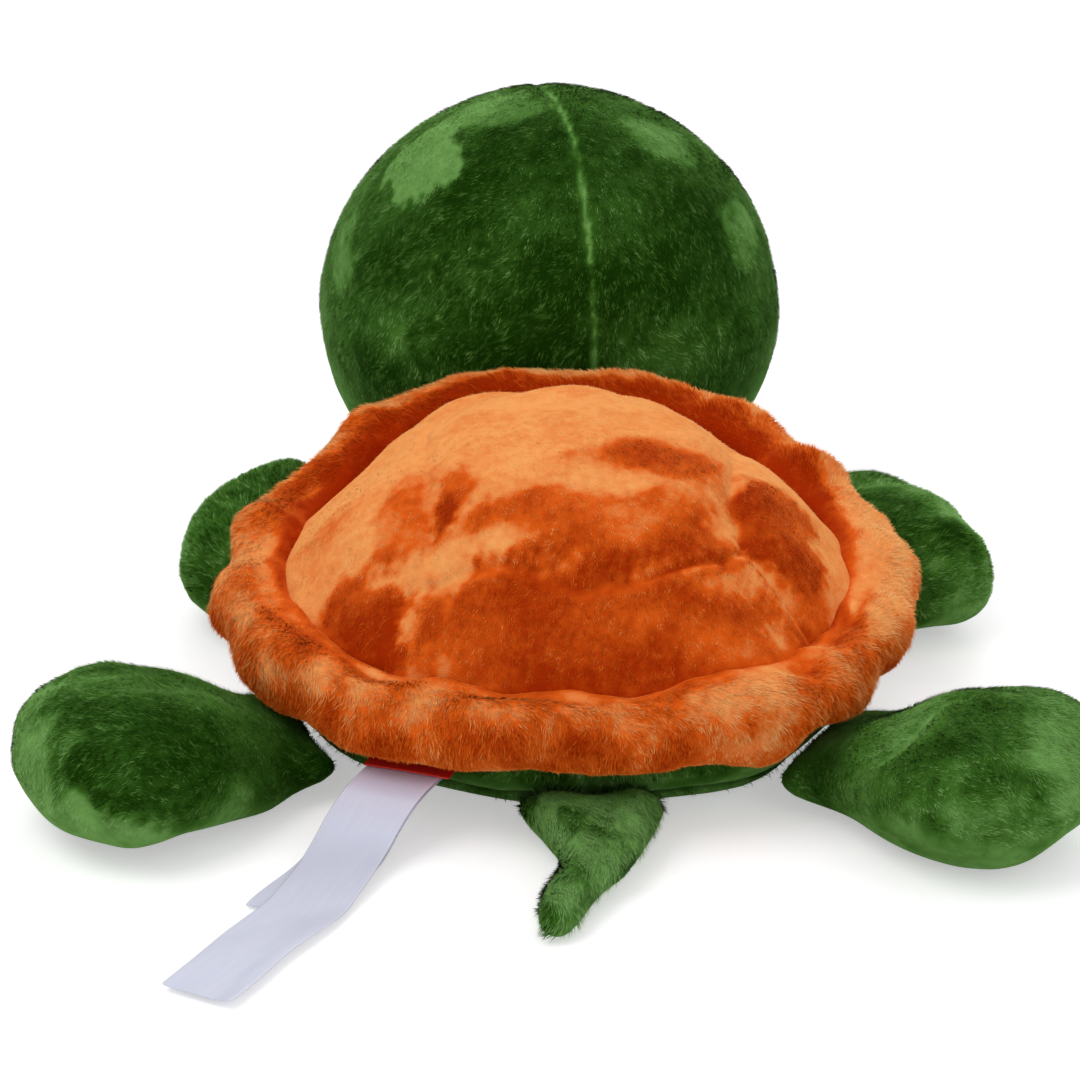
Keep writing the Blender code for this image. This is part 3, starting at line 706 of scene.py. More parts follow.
@dataclass(frozen=True)
class PlushFinish(Finish):
    """Plush: a knitted backing and the pile on it."""

    name: str
    slot: Slot
    dark: Colour
    middle: Colour
    light: Colour
    root: Colour
    sheen: Colour
    sheen_weight: float = 0.10
    contrast: float = 0.7
    # The height in the pile that the backing counts as, which gives it painted shade.
    backing_shade_height: float = 0.35
    # Painted sheen: how far the colour moves towards the light nap at grazing angles, how sharply, and on
    # hairs seen from their undersides.
    painted_sheen_share: float = 0.85
    painted_sheen_power: float = 2.6
    painted_underside_light_share: float = 0.45
    thin_power: float = 5.0
    thin_share: float = 0.4
    through: float = 3.0

    def coloured(
        self, part: str, colour_group: bpy.types.ShaderNodeTree, height: float | None = None,
    ) -> tuple[bpy.types.Material, Tree, bpy.types.Node, bpy.types.Node, bpy.types.Node]:
        """A material with the pile's colour, with painted sheen: lighter where it is seen aslant or from
        behind.

        Args:
            part: A word added to the material's name.
            colour_group: The node group of pile colour.
            height: The height in the pile that it counts as, where the mesh's own isn't read.

        Returns:
            The material, its tree and shader, and the nodes of slant and geometry.
        """
        material, tree, shader = self.blank(part)
        colour = tree.add("ShaderNodeGroup", node_tree=colour_group)
        tree.feed(colour.inputs["Place"], tree.own_place())
        for step in ("Dark", "Middle", "Light", "Root"):
            colour.inputs[step].default_value = (*getattr(self, step.lower()), 1.0)
        colour.inputs["Contrast"].default_value = self.contrast
        data = tree.add("ShaderNodeAttribute", attribute_name=PILE_DATA)
        nap, above_root, hair = tree.split(data.outputs["Vector"])
        aslant, seen = tree.add("ShaderNodeLayerWeight"), tree.add("ShaderNodeNewGeometry")
        aslant.inputs["Blend"].default_value = 0.5
        # Painted sheen: the colour is lighter at grazing angles and on hairs seen from their undersides.
        behind = tree.math("MULTIPLY", seen.outputs["Backfacing"], self.painted_underside_light_share)
        edge = tree.math("MAXIMUM", tree.math("POWER", aslant.outputs["Facing"], self.painted_sheen_power), behind)
        edge = tree.math("MULTIPLY", edge, self.painted_sheen_share)
        kept = tree.math("MULTIPLY", nap, tree.math("SUBTRACT", 1.0, edge))
        tree.feed(colour.inputs["Nap"], tree.math("ADD", kept, edge))
        tree.feed(colour.inputs["Height"], above_root if height is None else height)
        tree.feed(colour.inputs["Hair"], hair)
        tree.feed(shader.inputs["Base Color"], colour.outputs["Colour"])
        self.set_plain(
            shader, Roughness=0.72, Sheen_Weight=self.sheen_weight, Sheen_Roughness=0.42,
            Sheen_Tint=self.sheen, Specular_IOR_Level=0.02,
        )
        return material, tree, shader, aslant, seen

    def backing(self, colour_group: bpy.types.ShaderNodeTree) -> bpy.types.Material:
        """The knitted backing's material, with a fine relief, painted darker as the shade under the pile.

        Args:
            colour_group: The node group of pile colour.

        Returns:
            The material.
        """
        # The backing is painted darker, with the root shade of a low height in the pile.
        material, tree, shader, _, _ = self.coloured("_backing", colour_group, self.backing_shade_height)
        relief = tree.noise(tree.own_place(), scale=1500.0, detail=4.0)
        self.bump(tree, shader, relief, strength=0.6, distance=0.0006)
        return material

    def hair(self, colour_group: bpy.types.ShaderNodeTree) -> bpy.types.Material:
        """The pile's material, whose hairs let light through from above.

        Args:
            colour_group: The node group of pile colour.

        Returns:
            The material.
        """
        material, tree, shader, aslant, seen = self.coloured("_pile", colour_group)
        behind = seen.outputs["Backfacing"]
        facing = tree.span(behind, 0.0, 1.0, 1.0, -1.0)
        turned = tree.vector_math("SCALE", seen.outputs["Normal"], scale=facing)
        tree.feed(aslant.inputs["Normal"], turned)
        thin = tree.math("POWER", aslant.outputs["Facing"], self.thin_power)
        lit = tree.math("MAXIMUM", behind, tree.math("MULTIPLY", thin, self.thin_share))
        above = tree.add("ShaderNodeCombineXYZ")
        tree.feed(above.inputs["Z"], tree.math("MULTIPLY", lit, self.through))
        raised = tree.vector_math("ADD", turned, above.outputs[0])
        tree.feed(shader.inputs["Normal"], tree.vector_math("NORMALIZE", raised))
        return material


@dataclass(frozen=True)
class RibbonFinish(Finish):
    """Woven ribbon, satin or plain."""

    name: str
    slot: Slot
    colour: Colour
    shadow: Colour
    roughness: float
    sheen_weight: float
    threads: float
    selvedge: Colour
    # A reddish tint towards the seam end of the ribbon, its share and the length it fades over.
    seam_end_tint: Colour
    seam_end_tint_share: float = 0.0
    seam_end_tint_length: float = 0.03
    edge_from: tuple[float, float] = (0.0092, 0.0095)

    def material(self, weave: bpy.types.ShaderNodeTree) -> bpy.types.Material:
        """Makes the ribbon's material, on its own map in metres across and along.

        Args:
            weave: The node group of ribbon weave.

        Returns:
            The material.
        """
        material, tree, shader = self.blank()
        where = tree.add("ShaderNodeUVMap", uv_map=RIBBON_MAP).outputs[0]
        cloth = tree.add("ShaderNodeGroup", node_tree=weave)
        tree.feed(cloth.inputs["Place"], where)
        cloth.inputs["Across"].default_value = self.threads
        cloth.inputs["Along"].default_value = self.threads * 0.7
        cloud = tree.math("MULTIPLY", tree.noise(tree.own_place(), scale=90.0), 0.3)
        streak = tree.math("MULTIPLY", cloth.outputs["Streak"], 0.35)
        share = tree.math("ADD", streak, cloud, clamp=True)
        colour = tree.mix(share, (*self.colour, 1.0), (*self.shadow, 1.0))
        across, along, _ = tree.split(where)
        edge = tree.span(tree.math("ABSOLUTE", across), *self.edge_from, 0.0, 0.35)
        colour = tree.mix(edge, colour, (*self.selvedge, 1.0))
        # Reddish towards the seam end of the ribbon.
        seam_end_tinted = tree.span(along, 0.004, self.seam_end_tint_length, self.seam_end_tint_share, 0.0)
        tree.feed(shader.inputs["Base Color"], tree.mix(seam_end_tinted, colour, (*self.seam_end_tint, 1.0)))
        rough = tree.span(cloth.outputs["Streak"], 0.0, 1.0, self.roughness * 0.85, self.roughness * 1.15)
        tree.feed(shader.inputs["Roughness"], rough)
        self.set_plain(shader, Sheen_Weight=self.sheen_weight, Specular_IOR_Level=0.55)
        self.bump(tree, shader, cloth.outputs["Height"], strength=0.25, distance=0.00008)
        return material


@dataclass(frozen=True)
class PlasticFinish(Finish):
    """Moulded plastic."""

    name: str
    slot: Slot
    colour: Colour
    low: float
    high: float
    coat: float = 0.0

    def material(self, wear: bpy.types.ShaderNodeTree) -> bpy.types.Material:
        """Makes the plastic's material.

        Args:
            wear: The node group of plastic wear.

        Returns:
            The material.
        """
        material, tree, shader = self.blank()
        group = tree.add("ShaderNodeGroup", node_tree=wear)
        where = tree.own_place()
        tree.feed(group.inputs["Place"], where)
        group.inputs["Low"].default_value = self.low
        group.inputs["High"].default_value = self.high
        tree.feed(shader.inputs["Roughness"], group.outputs["Roughness"])
        lighter = tuple(min(1.0, c * 1.35 + 0.004) for c in self.colour)
        cloud = tree.span(tree.noise(where, scale=250.0), 0.35, 0.65)
        tree.feed(shader.inputs["Base Color"], tree.mix(cloud, (*self.colour, 1.0), (*lighter, 1.0)))
        self.set_plain(shader, Coat_Weight=self.coat, Coat_Roughness=0.04)
        self.bump(tree, shader, group.outputs["Height"], strength=0.05, distance=0.00003)
        return material


@dataclass(frozen=True)
class ClothFinish(Finish):
    """Plain woven cotton, and thread."""

    name: str
    slot: Slot
    colour: Colour
    threads: float = 9000.0

    def material(self) -> bpy.types.Material:
        """Makes the cloth's material."""
        material, tree, shader = self.blank()
        where = tree.own_place()
        place = tree.split(where)
        across = tree.math("SINE", tree.math("MULTIPLY", place[0], self.threads))
        along = tree.math("SINE", tree.math("MULTIPLY", place[1], self.threads))
        height = tree.math("MULTIPLY", across, along)
        darker = tuple(c * 0.72 for c in self.colour)
        share = tree.math("MULTIPLY", tree.noise(where, scale=700.0, detail=3.0), 0.8, clamp=True)
        tree.feed(shader.inputs["Base Color"], tree.mix(share, (*self.colour, 1.0), (*darker, 1.0)))
        self.set_plain(shader, Roughness=0.85, Sheen_Weight=0.2)
        self.bump(tree, shader, height, strength=0.3, distance=0.0001)
        return material


# ---------------- plush


@dataclass(frozen=True)
class BrushMark:
    """A place where a hand has brushed the pile the light or the dark way: its hairs turn, and its colour
    gets painted sheen or painted shade.
    """

    place: Place
    size: Place
    lift: float
    softness: float = 0.16

    def at(self, points: np.ndarray) -> np.ndarray:
        """How much the mark lifts the nap at each point, with a ragged edge."""
        off = np.linalg.norm((points - np.array(self.place)) / np.array(self.size), axis=1)
        off += 0.16 * Waves(0.011, 71).at(points) + 0.07 * Waves(0.0035, 72).at(points)
        return self.lift * ramp(1.0 - off, -self.softness, self.softness)


@dataclass(frozen=True)
class Nap:
    """How the pile of one form is brushed: patches of light and dark lay, which turn the hairs and are
    painted into their colour as sheen and shade.
    """

    size: float = 0.022
    bias: float = 0.0
    patches: float = 0.35
    crispness: float = 0.75
    turn: float = 70.0
    seed: int = 1
    marks: tuple[BrushMark, ...] = ()

    def share(self, points: np.ndarray, lift: np.ndarray) -> np.ndarray:
        """The lay at each point, from 0 for dark to 1 for light.

        Args:
            points: The places.
            lift: What the form itself adds there.

        Returns:
            One value for each place.
        """
        value = Waves(self.size, self.seed).at(points) * self.patches
        value += Waves(self.size * 0.36, self.seed + 50).at(points) * self.patches * 0.4
        value += self.bias + lift
        for mark in self.marks:
            value = value + mark.at(points)
        return 0.5 + 0.5 * np.tanh(value / self.crispness)


@dataclass(frozen=True)
class Pile:
    """The hairs of one form: how many to the square metre, their sizes, and angles in degrees."""

    density: float = 2.9e6
    length: float = 0.0023
    half_width: float = 0.00013
    lean: float = 18.0
    curl: float = 15.0
    clump_size: float = 0.0017
    clump: float = 0.24
    mess: float = 0.24
    upright: float = 0.6
    streak: float = 0.82
    swirl: float = 0.32
    sink: float = 0.0003
    under: float = 0.88
    length_range: tuple[float, float] = (0.72, 1.12)
    width_range: tuple[float, float] = (0.75, 1.25)
    unevenness: float = 0.10
    tip_sag: float = 4.0
    tuft_pull: tuple[float, float] = (0.4, 1.3)
    streak_length: float = 1.4
    crease_length: float = 0.22
    crease_start: float = 0.0006


@dataclass(frozen=True)
class Stuffing:
    """How a form is made soft: its remesh, how hard it is stuffed and how far its cloth may move."""

    voxel: float = 0.0028
    inset: float = 0.0010
    smoothing: int = 3
    pressure: float = 4.0
    frames: int = 14
    cap: float = 0.0022
    fill: float = 0.7
    held_from: float = 0.35
    tension: float = 12.0
    bending: float = 0.6


@dataclass
class PlushForm:
    """A stuffed form of plush: its skin, with seams, and the pile on it."""

    name: str
    node: str
    body: Body
    finish: PlushFinish
    pile: Pile = Pile()
    nap: Nap = Nap()
    stuffing: Stuffing = Stuffing()
    touching: tuple[str, ...] = ()
    seed: int = 1
    # Painted highlight along the seams, added to the lay.
    seam_light: float = 0.4
    seam_depth: float = 0.0014
    sewn_to: tuple[str, ...] = ()
    clearing: float = 0.0042

    def seams(self) -> list[Seam]:
        """The sewn lines of the form."""
        return []

    def comb(self, points: np.ndarray, normals: np.ndarray) -> np.ndarray:
        """The way that the pile lies at each point, before it is laid on the surface."""
        return np.tile((0.0, -1.0, -0.5), (len(points), 1))

    def shape(self, points: np.ndarray, normals: np.ndarray) -> np.ndarray:
        """The form's points after any shaping of its own."""
        return points

    def trimmed(self, points: np.ndarray) -> np.ndarray:
        """The pile's length at each point as a share of the full length."""
        return np.ones(len(points))

    def lay(self, points: np.ndarray, normals: np.ndarray) -> np.ndarray:
        """How the pile lies at each point, from 0 for dark to 1 for light, with a painted highlight along the
        seams.
        """
        return self.nap.share(points, self.seam_light * self.seam_closeness(points) ** 5)

    def across(self, points: np.ndarray) -> np.ndarray:
        """How far across the form each point is, for its division into panels."""
        return points[:, 0]

    def attach(self, piece: bpy.types.Object) -> None:
        """Makes a piece of the form follow its body."""
        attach(piece, self.body.value)

    def start_mesh(self) -> bpy.types.Object:
        """The mesh that the skin starts from."""
        return node_copy(self.node, self.name + "_skin")

    def seam_closeness(self, points: np.ndarray) -> np.ndarray:
        """How close each point is to the nearest seam, from 0 to 1."""
        close = np.zeros(len(points))
        for seam in self.seams():
            close = np.maximum(close, seam.closeness(points))
        return close

    def make_skin(self) -> None:
        """Makes the stuffed skin: remeshed, filled out as cloth, and drawn in along its seams."""
        skin = self.start_mesh()
        stuffing = self.stuffing
        apply_modifier(skin, "REMESH", mode="VOXEL", voxel_size=stuffing.voxel)
        apply_modifier(skin, "SMOOTH", factor=0.5, iterations=stuffing.smoothing)
        mesh = skin.data
        move_points(mesh, points_of(mesh) - normals_of(mesh) * stuffing.inset)
        self.fill_out(skin)
        apply_modifier(skin, "SUBSURF", levels=1, render_levels=1)
        points, normals = points_of(mesh), normals_of(mesh)
        points = self.shape(points, normals)
        points -= normals * (self.seam_depth * self.seam_closeness(points))[:, None]
        points[:, 2] = np.maximum(points[:, 2], FLOOR_CLEARANCE)
        move_points(mesh, points)
        mesh.shade_smooth()

    def fill_out(self, skin: bpy.types.Object) -> None:
        """Blows the cloth up a little from inside, held along its seams.

        Args:
            skin: The skin, which gets the result in its mesh.
        """
        mesh, stuffing = skin.data, self.stuffing
        before = points_of(mesh)
        held = skin.vertex_groups.new(name="seams")
        close = self.seam_closeness(before)
        for i in np.flatnonzero(close > stuffing.held_from):
            held.add([int(i)], float(close[i]), "REPLACE")
        cloth = skin.modifiers.new("cloth", "CLOTH")
        cloth.settings.quality = 4
        cloth.settings.use_pressure = True
        cloth.settings.uniform_pressure_force = stuffing.pressure
        cloth.settings.effector_weights.gravity = 0.0
        cloth.settings.tension_stiffness = stuffing.tension
        cloth.settings.bending_stiffness = stuffing.bending
        cloth.settings.vertex_group_mass = held.name
        cloth.point_cache.frame_end = stuffing.frames
        scene = bpy.context.scene
        for step in range(1, stuffing.frames + 1):
            scene.frame_set(step)
        graph = bpy.context.evaluated_depsgraph_get()
        after = points_of(skin.evaluated_get(graph).data)
        skin.modifiers.remove(cloth)
        skin.vertex_groups.remove(held)
        scene.frame_set(1)
        moved = after - before
        far = np.linalg.norm(moved, axis=1, keepdims=True)
        moved *= np.minimum(1.0, stuffing.cap / np.maximum(far, 1e-9))
        move_points(mesh, before + moved)

    def write_lay(self, mesh: bpy.types.Mesh) -> None:
        """Writes the nap on the skin's points, for its material."""
        points = points_of(mesh)
        data = mesh.attributes.new(PILE_DATA, "FLOAT_VECTOR", "POINT")
        height, tone = np.full(len(points), 0.3), np.full(len(points), 0.5)
        rows = np.stack([self.lay(points, normals_of(mesh)), height, tone], 1)
        data.data.foreach_set("vector", rows.astype(np.float32).ravel())

    def scatter(self, skin: bpy.types.Object, chance: np.random.Generator) -> tuple[np.ndarray, np.ndarray]:
        """Even random places on the skin.

        Args:
            skin: The skin.
            chance: The form's own random numbers.

        Returns:
            The places and the skin's normals there.
        """
        mesh = skin.data
        mesh.calc_loop_triangles()
        corners = np.empty(len(mesh.loop_triangles) * 3, np.int32)
        mesh.loop_triangles.foreach_get("vertices", corners)
        corners = corners.reshape(-1, 3)
        points, normals = points_of(mesh), normals_of(mesh)
        first, second, third = (points[corners[:, k]] for k in range(3))
        area = 0.5 * np.linalg.norm(np.cross(second - first, third - first), axis=1)
        density = self.pile.density * FULL_DENSITY
        count = int(area.sum() * density)
        pick = chance.choice(len(area), count, p=area / area.sum())
        share = chance.random((count, 2))
        share[share.sum(1) > 1] = 1 - share[share.sum(1) > 1]
        weights = np.concatenate([1 - share.sum(1, keepdims=True), share], 1)[:, :, None]
        rooted = (points[corners[pick]] * weights).sum(1)
        facing = unit((normals[corners[pick]] * weights).sum(1))
        return rooted, facing

    def make_pile(self, skin: bpy.types.Object) -> list[bpy.types.Object]:
        """Grows the pile on the skin, in panels side by side.

        Args:
            skin: The skin.

        Returns:
            The pieces of pile.
        """
        chance = np.random.default_rng(self.seed)
        roots, normals = self.scatter(skin, chance)
        nodes = [frame["nodes"][node].data for node in self.touching]
        for meshes, depth in ((nodes, HIDDEN_DEPTH), (self.sewn_skins(), SEWN_DEPTH)):
            clear = ~Neighbours(meshes).covered(roots, normals, depth, TOUCH_GAP)
            roots, normals = roots[clear], normals[clear]
        blades = self.blades(roots, normals, chance)
        order = np.argsort(self.across(roots), kind="stable")
        panels = np.array_split(order, math.ceil(len(order) / MOST_HAIRS))
        return [
            blade_mesh(f"{self.name}_pile_{number}", *(rows[chosen] for rows in blades))
            for number, chosen in enumerate(panels, start=1)
        ]

    def sewn_skins(self) -> list[bpy.types.Mesh]:
        """The skins of the forms that this one is sewn to."""
        return [bpy.data.objects[other + "_skin"].data for other in self.sewn_to]

    def combed(
        self, roots: np.ndarray, normals: np.ndarray, lay: np.ndarray, chance: np.random.Generator,
    ) -> np.ndarray:
        """The way that each hair points along the skin.

        Args:
            roots: Where each hair is rooted.
            normals: The skin's normal there.
            lay: The nap's lay there.
            chance: The form's own random numbers.

        Returns:
            One unit vector for each hair.
        """
        pile, count = self.pile, len(roots)
        way = self.comb(roots, normals)
        way = unit(way - normals * (way * normals).sum(1, keepdims=True))
        side = np.cross(normals, way)
        turn = np.radians(self.nap.turn) * (lay - 0.5)
        whirls = Waves(0.014, self.seed + 20).at(roots) + 0.4 * Waves(0.005, self.seed + 21).at(roots)
        turn += pile.swirl * whirls
        turn += chance.normal(0, pile.mess, count)
        return way * np.cos(turn)[:, None] + side * np.sin(turn)[:, None]

    def lengths(self, roots: np.ndarray, normals: np.ndarray, chance: np.random.Generator) -> np.ndarray:
        """Each hair's length, shorter in seams and creases and underneath.

        Args:
            roots: Where each hair is rooted.
            normals: The skin's normal there.
            chance: The form's own random numbers.

        Returns:
            One length for each hair.
        """
        pile = self.pile
        long = pile.length * chance.uniform(*pile.length_range, len(roots)) * self.trimmed(roots)
        long *= 1.0 - 0.5 * self.seam_closeness(roots)
        long *= 1.0 - pile.under * ramp(-normals[:, 2], 0.0, 0.5)
        if self.sewn_to:
            clear = ramp(Neighbours(self.sewn_skins()).distance(roots), pile.crease_start, self.clearing)
            long *= pile.crease_length + (1.0 - pile.crease_length) * clear
        return long

    def blades(
        self, roots: np.ndarray, normals: np.ndarray, chance: np.random.Generator,
    ) -> tuple[np.ndarray, np.ndarray, np.ndarray]:
        """The hairs' points and data.

        Args:
            roots: Where each hair is rooted.
            normals: The skin's normal there.
            chance: The form's own random numbers.

        Returns:
            For each hair its three points, at each its nap, height and chance value, and its shading normal.
        """
        pile, count = self.pile, len(roots)
        lay = self.lay(roots, normals)
        way = self.combed(roots, normals, lay, chance)
        side = np.cross(normals, way)
        long = self.lengths(roots, normals, chance)
        lean = np.radians(pile.lean) * (0.5 + 0.9 * (1 - lay)) + chance.normal(0, pile.unevenness, count)
        base = roots - normals * pile.sink
        tip = base
        for bend, share in ((pile.curl, 0.5), (-pile.tip_sag, 0.55)):
            rise = (lean + np.radians(bend))[:, None]
            tip = tip + (normals * np.sin(rise) + way * np.cos(rise)) * (share * long)[:, None]
        tip = self.gathered(roots, tip, chance)
        wide = pile.half_width * FULL_WIDTH
        across = side * (wide * chance.uniform(*pile.width_range, count))[:, None]
        points = np.stack([base - across, base + across, tip], 1)
        points[:, :, 2] = np.maximum(points[:, :, 2], FLOOR_CLEARANCE)
        height = np.tile((0.0, 0.0, 1.0), (count, 1))
        tone = pile.streak * streaks(roots, way, pile.streak_length * pile.length, self.seed + 40)
        tone += (1 - pile.streak) * chance.random(count)
        lays, tones = (np.repeat(values[:, None], HAIR_CORNERS, 1) for values in (lay, tone))
        data = np.stack([lays, height, tones], 2)
        facing = unit(np.cross(unit(tip - base), side))
        facing = normals * pile.upright + facing * (1 - pile.upright)
        return points, data, unit(facing + chance.normal(0, pile.unevenness, roots.shape))

    def gathered(self, roots: np.ndarray, tip: np.ndarray, chance: np.random.Generator) -> np.ndarray:
        """Draws neighbouring hairs together into small tufts.

        Args:
            roots: The hairs' roots.
            tip: Their tips.
            chance: The form's own random numbers.

        Returns:
            The new tips.
        """
        pile = self.pile
        wobble = np.stack([Waves(0.007, self.seed + 30 + k).at(roots) for k in range(3)], 1) * 0.0012
        spots = roots + wobble + chance.uniform(0, 0.0006, roots.shape)
        keys = cell_keys(np.floor(spots / pile.clump_size).astype(np.int64))
        _, group, size = np.unique(keys, return_inverse=True, return_counts=True)
        centre = np.stack([np.bincount(group, tip[:, k]) / size for k in range(3)], 1)[group]
        move = (centre - tip) * (pile.clump * chance.uniform(*pile.tuft_pull, len(tip)))[:, None]
        far = np.linalg.norm(move, axis=1, keepdims=True)
        move *= np.minimum(1.0, 0.35 * pile.clump_size / np.maximum(far, 1e-9))
        return tip + move

    def build(self, backing: bpy.types.Material, hair: bpy.types.Material) -> None:
        """Grows the pile on the finished skin, dresses both and hands them to the frame.

        Args:
            backing: The backing's material.
            hair: The pile's material.
        """
        skin = bpy.data.objects[self.name + "_skin"]
        self.write_lay(skin.data)
        skin.data.materials.append(backing)
        pieces = self.make_pile(skin)
        for piece in pieces:
            piece.data.materials.append(hair)
        for piece in (skin, *pieces):
            self.attach(piece)
        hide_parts(self.node)
        hairs = sum(len(piece.data.polygons) for piece in pieces)
        LOG.info("%s: skin of %d faces, %d hairs", self.name, len(skin.data.polygons), hairs)


def blade_mesh(name: str, points: np.ndarray, data: np.ndarray, facing: np.ndarray) -> bpy.types.Object:
    """A mesh of flat hairs, each with its own small place on the bake map.

    Args:
        name: The piece's name.
        points: Each hair's root pair and tip.
        data: The nap, height and chance value at each of these.
        facing: Each hair's shading normal.

    Returns:
        The new object.
    """
    count = len(points)
    mesh = bpy.data.meshes.new(name)
    mesh.vertices.add(count * HAIR_CORNERS)
    mesh.vertices.foreach_set("co", points.astype(np.float32).ravel())
    start = np.arange(count)[:, None] * HAIR_CORNERS
    mesh.loops.add(count * HAIR_CORNERS)
    mesh.loops.foreach_set("vertex_index", (start + np.array((1, 0, 2))).ravel().astype(np.int32))
    mesh.polygons.add(count)
    mesh.polygons.foreach_set("loop_start", start.ravel().astype(np.int32))
    mesh.update(calc_edges=True)
    layer = mesh.attributes.new(PILE_DATA, "FLOAT_VECTOR", "POINT")
    layer.data.foreach_set("vector", data.astype(np.float32).ravel())
    side = math.ceil(math.sqrt(count))
    order = np.arange(count)
    corner = np.stack([order % side, order // side], 1)[:, None, :].astype(float)
    cell = np.array(((0.9, 0.08), (0.1, 0.08), (0.5, 0.92)))
    places = (corner + cell[None]) / side
    uv = mesh.uv_layers.new(name=BAKE_MAP)
    uv.data.foreach_set("uv", places.astype(np.float32).ravel())
    mesh.shade_smooth()
    mesh.normals_split_custom_set_from_vertices(np.repeat(facing, HAIR_CORNERS, 0).astype(np.float32))
    return link_mesh(name, mesh)


@dataclass
class Shell(PlushForm):
    """The quilted dome of the shell."""

    reach: float = 0.0935
    seam_width: float = 0.0013
    front_strength: float = 0.35
    front_sink: float = 0.0042
    shoulder_sink: float = 0.0046
    tuck: float = 0.0046
    unevenness: float = 0.0009
    panel: tuple[Spot, ...] = (
        (0.0469, -0.0297), (0.0442, -0.0169), (0.0456, 0.0054), (0.0440, 0.0330), (0.0250, 0.0460),
        (0.0040, 0.0500), (-0.0190, 0.0450), (-0.0350, 0.0360), (-0.0366, 0.0246), (-0.0364, -0.0061),
        (-0.0345, -0.0320), (-0.0388, -0.0420), (-0.0295, -0.0420), (-0.0213, -0.0432),
        (-0.0111, -0.0452), (0.0054, -0.0499), (0.0189, -0.0474), (0.0318, -0.0421),
        (0.0414, -0.0378), (0.0469, -0.0297),
    )
    spokes: tuple[tuple[Spot, ...], ...] = (
        ((0.0469, -0.0297), (0.0553, -0.0348), (0.0640, -0.0410), (0.0760, -0.0500)),
        ((-0.0388, -0.0420), (-0.0429, -0.0458), (-0.0470, -0.0520), (-0.0520, -0.0620)),
        ((0.0440, 0.0330), (0.0620, 0.0540)),
        ((-0.0350, 0.0360), (-0.0560, 0.0600)),
        ((0.0040, 0.0500), (0.0060, 0.0720)),
    )

    def seams(self) -> list[Seam]:
        """The middle panel's outline and the seams that run out from its corners."""
        rear = [self.panel[:3], self.panel[8:], *self.spokes[:2]]
        front = [self.panel[2:9], *self.spokes[2:]]
        return [
            Seam(tuple((x, y, 0.0) for x, y in line), width=self.seam_width, flat=True, strength=share)
            for lines, share in ((rear, 1.0), (front, self.front_strength)) for line in lines
        ]

    def comb(self, points: np.ndarray, normals: np.ndarray) -> np.ndarray:
        """The pile lies to the rear, and outwards towards the edge and the front."""
        way = points * (9.0, 7.0, 0.0) + np.array((0.12, 0.0, -0.3))
        way[:, 1] -= 0.8 * (1.0 - ramp(points[:, 1], 0.0, 0.030))
        return way

    def shape(self, points: np.ndarray, normals: np.ndarray) -> np.ndarray:
        """Slightly uneven stuffing, a flatter front and left shoulder, and an edge tucked into the roll."""
        shoulder = bell(points[:, 0], -0.058, 0.022) * bell(points[:, 1], 0.006, 0.026)
        front = ramp(points[:, 1], -0.008, 0.030)
        sunk = self.front_sink * front + self.shoulder_sink * shoulder
        sunk *= ramp(points[:, 2], 0.036, 0.054)
        points = points - sunk[:, None] * (0.0, 0.0, 1.0)
        reach = np.linalg.norm(points[:, :2], axis=1) / self.reach
        tuck = self.tuck * ramp(-points[:, 2], -0.058, -0.030) * ramp(reach, 0.4, 0.75)
        uneven = self.unevenness * Waves(0.03, 5).at(points)
        return points + normals * uneven[:, None] + level_out(points) * tuck[:, None]


